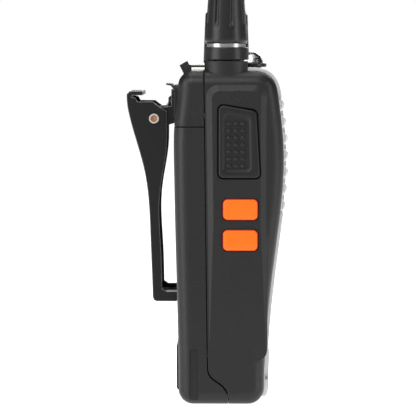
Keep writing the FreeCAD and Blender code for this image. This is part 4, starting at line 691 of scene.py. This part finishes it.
# %% Recipes: Geometry Nodes trees with named sizes
class Recipe(Nodes):
    """A Geometry Nodes tree with named sizes, run once to give a plain mesh."""

    def __init__(self, name, finish, **sizes):
        tree = bpy.data.node_groups.new(name, "GeometryNodeTree")
        tree.interface.new_socket("Start", in_out="INPUT", socket_type="NodeSocketGeometry")
        tree.interface.new_socket("Result", in_out="OUTPUT", socket_type="NodeSocketGeometry")
        for label, size in sizes.items():
            kind = "NodeSocketInt" if isinstance(size, int) else "NodeSocketFloat"
            socket = tree.interface.new_socket(label, in_out="INPUT", socket_type=kind)
            socket.default_value = size
        super().__init__(tree)
        self.finish = finish
        self.inlet = tree.nodes.new("NodeGroupInput")
        self.start = Value(tree, self.inlet.outputs["Start"])

    def size(self, label):
        return Value(self.tree, self.inlet.outputs[label])

    def end(self, geometry):
        """Ends the tree: instances made real, smooth faces and the finish."""
        real = self.node("GeometryNodeRealizeInstances", {}, {"Geometry": geometry})
        smooth = self.node("GeometryNodeSetShadeSmooth", {}, {"Geometry": real})
        sockets = {"Geometry": smooth, "Material": self.finish}
        painted = self.node("GeometryNodeSetMaterial", {}, sockets)
        outlet = self.tree.nodes.new("NodeGroupOutput")
        self.tree.links.new(painted.socket, outlet.inputs["Result"])

    def run(self, name, start=None, **sizes):
        """Runs the tree on a start mesh, or on nothing, and gives a plain mesh."""
        host = bpy.data.objects.new(name, start or bpy.data.meshes.new(name))
        bpy.context.scene.collection.objects.link(host)
        modifier = host.modifiers.new("recipe", "NODES")
        modifier.node_group = self.tree
        for socket in self.tree.interface.items_tree:
            if socket.name in sizes:
                modifier[socket.identifier] = sizes[socket.name]
        graph = bpy.context.evaluated_depsgraph_get()
        mesh = bpy.data.meshes.new_from_object(host.evaluated_get(graph))
        bpy.data.objects.remove(host)
        mesh.name = name
        return mesh


# %% [markdown]
# ## The talk key
#
# The talk key is a rubbery cap with a flange behind the case wall that keeps it from falling out.
# Its face has a raised rim and a sunk field, so a thumb can find it blind, and three columns of
# small pips in the field stop the thumb from sliding. The cap is a skin over rings: flange, wall,
# rounded edge, rim, and the step down into the field.

# %% The talk key's cap
KEY_FLANGE_GROW = mm(0.85)
KEY_HEIGHT, KEY_SLOPE = mm(21.2), mm(1.9)
KEY_CORNER, FIELD_CORNER = mm(1.4), mm(1.3)
FLANGE_THICKNESS = 0.9
key_low, key_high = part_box("talk_key")
key_rear = key_high.y - KEY_FLANGE_GROW
key_front = key_rear - mm(11.5)
key_foot = key_low.z + KEY_FLANGE_GROW
key_face_x = key_low.x
flange_x = key_face_x + mm(3.85)


def key_corners(grow):
    """The corners of the talk key's outline, grown by a margin."""
    top = key_foot + KEY_HEIGHT
    return [
        (key_rear + grow, top + grow),
        (key_rear + grow, key_foot - grow),
        (key_front - mm(0.5) - grow, key_foot - grow),
        (key_front + mm(0.6) - grow, top - KEY_SLOPE + grow),
    ]


def key_field(grow):
    """The corners of the sunk field on the key's face."""
    rear, foot = key_rear - mm(1.3), key_foot + mm(2.0)
    front, top = key_rear - mm(9.1), key_foot + KEY_HEIGHT - mm(2.6)
    return [
        (rear + grow, top + grow),
        (rear + grow, foot - grow),
        (front - mm(0.3) - grow, foot - grow),
        (front - grow, top - mm(1.2) + grow),
    ]


def key_ring(corners, radius, depth):
    """A ring of the key at a depth below its face, in millimetres."""
    x = key_face_x + mm(depth)
    return rounded_ring(corners, radius, lambda y, z: Vector((x, y, z)))


# Each pair of numbers is how far a ring is grown and how deep it lies, in millimetres.
key_depth = (flange_x - key_face_x) * 1000
wall = [(0, key_depth), (0, 0.62), (-0.05, 0.36), (-0.16, 0.16), (-0.36, 0.04), (-0.6, 0.0)]
field = [(0.25, 0.0), (0.05, 0.06), (-0.1, 0.24), (-0.25, 0.42), (-0.5, 0.46), (-1.2, 0.46)]
key_rings = [
    key_ring(key_corners(KEY_FLANGE_GROW), KEY_CORNER + KEY_FLANGE_GROW, depth)
    for depth in (key_depth + FLANGE_THICKNESS, key_depth)
]
key_rings += [key_ring(key_corners(mm(grow)), KEY_CORNER + mm(grow), depth) for grow, depth in wall]
key_rings += [key_ring(key_field(mm(grow)), FIELD_CORNER, depth) for grow, depth in field]
talk_cap = skin("talk_key_cap", key_rings)
show("talk_key_cap", talk_cap, talk_rubber, "talk_key", ["talk_key"])

# %% [markdown]
# The pips are one recipe: a grid of points, each with a small block rounded by subdivision. The
# grid is made flat on the floor and then turned to face out of the key.

# %% The talk key's pips
pips = Recipe(
    "pip_grid",
    talk_rubber,
    Columns=3,
    Rows=7,
    Pitch=mm(2.02),
    Width=mm(1.9),
    Height=mm(1.5),
    Depth=mm(1.0),
)
grid = pips.node(
    "GeometryNodeMeshGrid",
    {},
    {
        "Size X": pips.size("Pitch") * (pips.size("Columns") - 1),
        "Size Y": pips.size("Pitch") * (pips.size("Rows") - 1),
        "Vertices X": pips.size("Columns"),
        "Vertices Y": pips.size("Rows"),
    },
)
block_size = pips.node(
    "ShaderNodeCombineXYZ",
    {},
    {"X": pips.size("Width"), "Y": pips.size("Height"), "Z": pips.size("Depth")},
)
block = pips.node("GeometryNodeMeshCube", {}, {"Size": block_size})
pip = pips.node("GeometryNodeSubdivisionSurface", {}, {"Mesh": block, "Level": 2})
all_pips = pips.node("GeometryNodeInstanceOnPoints", {}, {"Points": grid, "Instance": pip})
field_middle = (key_face_x + mm(0.42), key_rear - mm(5.0), key_foot + mm(9.6))
quarter = math.radians(90)
turned = {"Geometry": all_pips, "Rotation": (quarter, 0, quarter), "Translation": field_middle}
pips.end(pips.node("GeometryNodeTransform", {}, turned))
show("talk_key_pips", pips.run("talk_key_pips"), talk_rubber, "talk_key")

# %% [markdown]
# ## The two orange keys
#
# Each small key is a silicone cap with a softly crowned face. The crown matters: it makes the
# reflection slide over the face instead of switching on and off, which is what the eye expects of
# rubber. They are skins too, with the last rings shrinking towards the middle while they rise.


# %% Orange keys
def small_key(node, body):
    """A crowned key cap with its flange, in the place of a CAD key."""
    low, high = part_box(node)
    mid_y, mid_z = (low.y + high.y) / 2, (low.z + high.z) / 2
    half_y = (high.y - low.y) / 2 - KEY_FLANGE_GROW
    half_z = (high.z - low.z) / 2 - KEY_FLANGE_GROW

    def ring(grow, depth):
        y, z = half_y + mm(grow), half_z + mm(grow)
        corners = [(y, z), (y, -z), (-y, -z), (-y, z)]
        corner = mm(1.3 + max(grow, -0.9))
        x = low.x + mm(depth)
        return rounded_ring(corners, corner, lambda u, v: Vector((x, mid_y + u, mid_z + v)))

    flange = [(0.85, key_depth + FLANGE_THICKNESS), (0.85, key_depth)]
    wall = [(0.17, key_depth), (0.17, 0.8), (0, 0.74), (-0.06, 0.5)]
    crown = [(-0.2, 0.3), (-0.42, 0.18), (-0.7, 0.12), (-1.1, 0.07), (-1.8, 0.02), (-2.4, 0.0)]
    cap = skin(node + "_cap", [ring(grow, depth) for grow, depth in flange + wall + crown])
    show(node + "_cap", cap, orange.material, body, [node])


small_key("upper_side_key", "upper_key")
small_key("lower_side_key", "lower_key")

# %% [markdown]
# ## Wire, and the mark over the talk key
#
# Anything with a round section that follows a path comes from one recipe: a path of points
# becomes a curve, and a circle is swept along it. The first use is a small raised mark over the
# talk key, three arcs that spread from a dot, which says "speak" without a word.

# %% The wire recipe and the talk mark
wire = Recipe("wire_on_path", case_plastic, Radius=mm(0.2), Sides=10)
path = wire.node("GeometryNodeMeshToCurve", {}, {"Mesh": wire.start})
round_section = {"Resolution": wire.size("Sides"), "Radius": wire.size("Radius")}
section = wire.node("GeometryNodeCurvePrimitiveCircle", {}, round_section)
swept = {"Curve": path, "Profile Curve": section, "Fill Caps": True}
wire.end(wire.node("GeometryNodeCurveToMesh", {}, swept))


def polyline(name, *paths):
    """A mesh of edges only, along one or more paths of points."""
    points, edges = [], []
    for stops in paths:
        first = len(points)
        points += stops
        edges += [(first + i, first + i + 1) for i in range(len(stops) - 1)]
    mesh = bpy.data.meshes.new(name)
    mesh.from_pydata(points, edges, [])
    return mesh


panel_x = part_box("front_housing")[0].x
mark_y, mark_z = key_rear - mm(3.2), key_foot + KEY_HEIGHT + mm(2.2)


def mark_point(radius, degrees):
    """A point of the mark, on an arc about its dot; the arcs open towards the front."""
    angle = math.radians(degrees)
    y = mark_y - radius * math.cos(angle)
    return Vector((panel_x, y, mark_z + radius * math.sin(angle)))


mark_paths = [
    [mark_point(mm(radius), degrees) for degrees in range(-38, 39, 4)]
    for radius in (1.1, 2.1, 3.1)
]
mark_paths.append([mark_point(mm(0.18), degrees) for degrees in range(0, 361, 30)])
mark_mesh = wire.run("talk_mark", polyline("talk_mark_path", *mark_paths))
show("talk_mark", mark_mesh, case_plastic, "radio")

# %% [markdown]
# ## The antenna's rubber skin
#
# The skin is one long turned shape that follows a rule, so Geometry Nodes can make all of it: a
# flat grid is wrapped round the axis, its radius falls off with height, and eight troughs are cut
# near the foot, where fingers grip it to screw it in. Rows of the grid crowd towards the tip,
# because the tip is the only place that curves along its length. The first row shrinks to a point
# to close the foot, and doubled points are merged.

# %% The antenna's skin
sleeve_low, sleeve_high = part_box("antenna_sleeve")
COLUMNS, ROWS = 240, 200
CROWDING = 1.5
TROUGH_END = 5
sleeve = Recipe(
    "fluted_sleeve",
    antenna_rubber,
    Length=sleeve_high.z - sleeve_low.z,
    Foot=(sleeve_high.x - sleeve_low.x) / 2,
    Whip=mm(3.4),
    Taper=mm(30.0),
    Flutes=8,
    Phase=0.35,
    Trough=mm(0.62),
    Depth=mm(0.55),
    Lowest=mm(5.7),
    Highest=mm(34.0),
)
sheet = sleeve.node(
    "GeometryNodeMeshGrid",
    {},
    {"Size X": 1.0, "Size Y": 1.0, "Vertices X": COLUMNS + 1, "Vertices Y": ROWS},
)
flat_place = sleeve.node("GeometryNodeInputPosition")
around = sleeve.node("ShaderNodeSeparateXYZ", {}, {"Vector": flat_place}, output="X") + 0.5
rise = sleeve.node("ShaderNodeSeparateXYZ", {}, {"Vector": flat_place}, output="Y") + 0.5
row = 1 / (ROWS - 1)
above_foot = ((rise - row) / (1 - row)).most(0.0)
height = sleeve.size("Length") * (1 - (1 - above_foot) ** CROWDING)
falling = height / sleeve.size("Taper") * -1
fall = falling.math("EXPONENT", falling)
straight = sleeve.size("Whip") + (sleeve.size("Foot") - sleeve.size("Whip")) * fall
in_tip = (height - (sleeve.size("Length") - sleeve.size("Whip"))).most(0.0) / sleeve.size("Whip")
tip = (1 - in_tip**2).most(0.0) ** 0.5
repeat = around * sleeve.size("Flutes") - sleeve.size("Phase") + 1.5
off_trough = (repeat.math("FRACT", repeat) - 0.5) / sleeve.size("Flutes") * (2 * math.pi) * straight
below = (sleeve.size("Lowest") - height).most(0.0)
beyond = (height - sleeve.size("Highest")).most(0.0) / TROUGH_END
distance = (off_trough**2 + below**2 + beyond**2) / sleeve.size("Trough") ** 2
trough = (1 - distance).most(0.0) ** 0.5 * sleeve.size("Depth")
chamfer = (1 - (rise > row * 1.5)) * mm(0.25)
radius = (straight * tip - trough - chamfer) * (rise > row * 0.5)
angle = around * (2 * math.pi)
across = radius * angle.math("COSINE", angle)
along = radius * angle.math("SINE", angle)
wrapped = sleeve.node("ShaderNodeCombineXYZ", {}, {"X": across, "Y": along, "Z": height})
rolled = sleeve.node("GeometryNodeSetPosition", {}, {"Geometry": sheet, "Position": wrapped})
closed = sleeve.node("GeometryNodeMergeByDistance", {}, {"Geometry": rolled, "Distance": mm(0.002)})
antenna_axis = ((sleeve_low.x + sleeve_high.x) / 2, 0, sleeve_low.z)
on_axis = {"Geometry": closed, "Translation": antenna_axis}
sleeve.end(sleeve.node("GeometryNodeTransform", {}, on_axis))
fluted = sleeve.run("antenna_skin")
show("antenna_skin", fluted, antenna_rubber, "antenna", ["antenna_sleeve"])

# %% [markdown]
# ## The clip's spring
#
# A torsion spring is a coil whose two ends are pushed apart round its axis. Here one end lies on
# the fixed bracket and the other under the lever. The wire's path is a helix with a straight leg
# at each end, and the wire recipe gives it its thickness. When the clip opens, the coil winds a
# little tighter.

# %% The torsion spring
WIRE, COIL, TURNS = mm(0.45), mm(2.3), 4.25
coil_low, coil_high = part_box("clip_spring")
first_x = coil_low.x + WIRE * 1.1
last_x = -first_x
bracket_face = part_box("clip_bracket")[0].y + mm(1.0)


def coil_point(share):
    """A point of the coil, from its front side on the bracket's end round to its underside."""
    turn = math.pi + share * TURNS * 2 * math.pi
    x = first_x + (last_x - first_x) * share
    return Vector((x, hinge_y + COIL * math.cos(turn), hinge_z + COIL * math.sin(turn)))


STEPS_IN_A_TURN = 28
steps = int(TURNS * STEPS_IN_A_TURN)
fixed_leg = [
    Vector((first_x, bracket_face + WIRE * 1.1, coil_high.z - WIRE)),
    Vector((first_x, bracket_face + WIRE * 1.2, coil_high.z - mm(1.6))),
    Vector((first_x, hinge_y - COIL - mm(0.25), hinge_z + mm(1.6))),
]
free_leg = [
    Vector((last_x, hinge_y + mm(1.0), hinge_z - COIL - mm(0.25))),
    Vector((last_x, coil_high.y - WIRE - mm(0.3), coil_low.z + mm(1.2))),
    Vector((last_x, coil_high.y - WIRE, coil_low.z + WIRE)),
]
spring_path = fixed_leg + [coil_point(i / steps) for i in range(steps + 1)] + free_leg
spring_line = polyline("spring_path", spring_path)
coiled = wire.run("torsion_spring", spring_line, Radius=WIRE, Sides=12)
spring = show("torsion_spring", coiled, spring_wire_steel, None, ["clip_spring"])
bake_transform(spring)

# %% [markdown]
# ## Marks on the knobs and a ring of ticks
#
# A turning knob needs a pointer. Each knob gets one white line, raised by a tenth of a
# millimetre, from its top edge down its side.

# %% Pointers
paint = Finish("white_paint")
paint_specks = paint.noise(0.0005)
paint.set("Base Color", paint.mix(paint_specks, (0.62, 0.62, 0.60), (0.74, 0.74, 0.72)))
paint.set("Roughness", 0.42 + paint_specks * 0.15)


def pointer(knob, body):
    """A thin raised line from the middle of a knob's top to its edge and down its side."""
    low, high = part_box(knob)
    mid_x, reach = (low.x + high.x) / 2, -low.y
    half, proud, top = mm(0.38), mm(0.09), high.z
    taper = mm(0.65)
    inward = Vector((0, 1, -1)).normalized() * mm(0.5)
    line = [
        (mm(2.6), top + proud, 1.0),
        (reach - taper - mm(1.0), top + proud, 1.0),
        (reach - taper - mm(0.25), top - mm(0.22) + proud, 1.0),
        (reach - taper + proud, top - mm(1.05), 1.0),
        (reach - taper * 0.75 + proud, top - mm(4.2), 0.7),
    ]
    rings = []
    for out, z, width in line:
        side = half * width
        corners = [(-side, 0), (side, 0), (side, 1), (-side, 1)]
        rings.append([Vector((mid_x + u, -out, z)) + inward * v for u, v in corners])
    show(knob + "_pointer", skin(knob + "_pointer", rings), paint.material, body)


pointer("channel_knob", "channel_control")
pointer("volume_knob", "volume_control")

# %% [markdown]
# Round the channel knob the case has short ticks, one for each of its sixteen stops. The recipe
# stands a small bar on each point of a circle, turns it outward, and drops the bars that would
# lie under the trim.

# %% Ticks round the channel knob
channel_low, channel_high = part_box("channel_knob")
ticks = Recipe(
    "ring_of_ticks",
    paint.material,
    Count=16,
    Radius=mm(7.58),
    Long=mm(0.62),
    Wide=mm(0.26),
    Front=mm(-4.6),
)
stops = {"Vertices": ticks.size("Count"), "Radius": ticks.size("Radius")}
circle = ticks.node("GeometryNodeMeshCircle", {}, stops)
stop_place = ticks.node("GeometryNodeInputPosition")
outward = ticks.node("FunctionNodeAlignEulerToVector", {"axis": "X"}, {"Vector": stop_place})
bar_size = ticks.node(
    "ShaderNodeCombineXYZ",
    {},
    {"X": ticks.size("Long"), "Y": ticks.size("Wide"), "Z": mm(0.12)},
)
bar = ticks.node("GeometryNodeMeshCube", {}, {"Size": bar_size})
bars = {"Points": circle, "Instance": bar, "Rotation": outward}
stood = ticks.node("GeometryNodeInstanceOnPoints", {}, bars)
tick_y = ticks.node("ShaderNodeSeparateXYZ", {}, {"Vector": stop_place}, output="Y")
hidden = {"Geometry": stood, "Selection": ticks.size("Front") > tick_y}
kept = ticks.node("GeometryNodeDeleteGeometry", {"domain": "INSTANCE"}, hidden)
tick_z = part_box("channel_nut")[0].z - mm(0.02)
tick_place = ((channel_low.x + channel_high.x) / 2, 0, tick_z)
ticks.end(ticks.node("GeometryNodeTransform", {}, {"Geometry": kept, "Translation": tick_place}))
show("channel_ticks", ticks.run("channel_ticks"), paint.material, "radio")

# %% [markdown]
# ## The strap of the socket cover
#
# A rubber strap ties the socket cover to the case, so it can't be lost. It is a flat band, plugged
# into the case at its upper end and moulded to the cover at its lower end. When the cover swings
# up, the band bends.

# %% The cover's strap
strap_low, strap_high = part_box("cover_strap")
strap_x0, strap_x1 = strap_high.x - mm(0.8), strap_high.x
strap_mid = (strap_low.y + strap_high.y) / 2
STRAP_RINGS = 14


def strap_ring(share):
    """A section of the band; it is a little narrower at its middle, where it bends."""
    z = strap_low.z + (strap_high.z - strap_low.z) * share
    end = min(1, 6 * min(share + 0.02, 1.02 - share))
    half = (strap_high.y - strap_low.y) / 2 * (0.88 + 0.12 * abs(2 * share - 1)) * (0.7 + 0.3 * end)
    corners = [(strap_x0, half), (strap_x1, half), (strap_x1, -half), (strap_x0, -half)]
    return rounded_ring(corners, mm(0.22), lambda x, y: Vector((x, strap_mid + y, z)), steps=4)


strap_mesh = skin("strap_band", [strap_ring(i / STRAP_RINGS) for i in range(STRAP_RINGS + 1)])
strap = show("strap_band", strap_mesh, cover_rubber, None, ["cover_strap"])
strap_high.z - mm(0.8)
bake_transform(strap)

# %% [markdown]
# ## The foam seal at the battery's foot
#
# The joint between the battery and the case runs straight across the foot, and light would show
# through it from side to side. A real radio keeps dust out there with a strip of foam stuck to
# the battery, so a thin dark strip stands in the joint, a little clear of the case.

# %% The foam seal
battery_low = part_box("battery_shell")[0]
seal_low = Vector((mm(-24), battery_low.y - mm(0.28), mm(0.03)))
seal_high = Vector((mm(24), battery_low.y - mm(0.02), mm(2.15)))
seal_corners = [
    (seal_low.x, seal_low.y),
    (seal_high.x, seal_low.y),
    (seal_high.x, seal_high.y),
    (seal_low.x, seal_high.y),
]
seal_rings = [
    rounded_ring(seal_corners, mm(0.08), lambda x, y, z=z: Vector((x, y, z)), steps=3)
    for z in (seal_low.z, seal_low.z + mm(0.3), seal_high.z - mm(0.3), seal_high.z)
]
show("foot_seal", skin("foot_seal", seal_rings), seal_rubber, "battery")
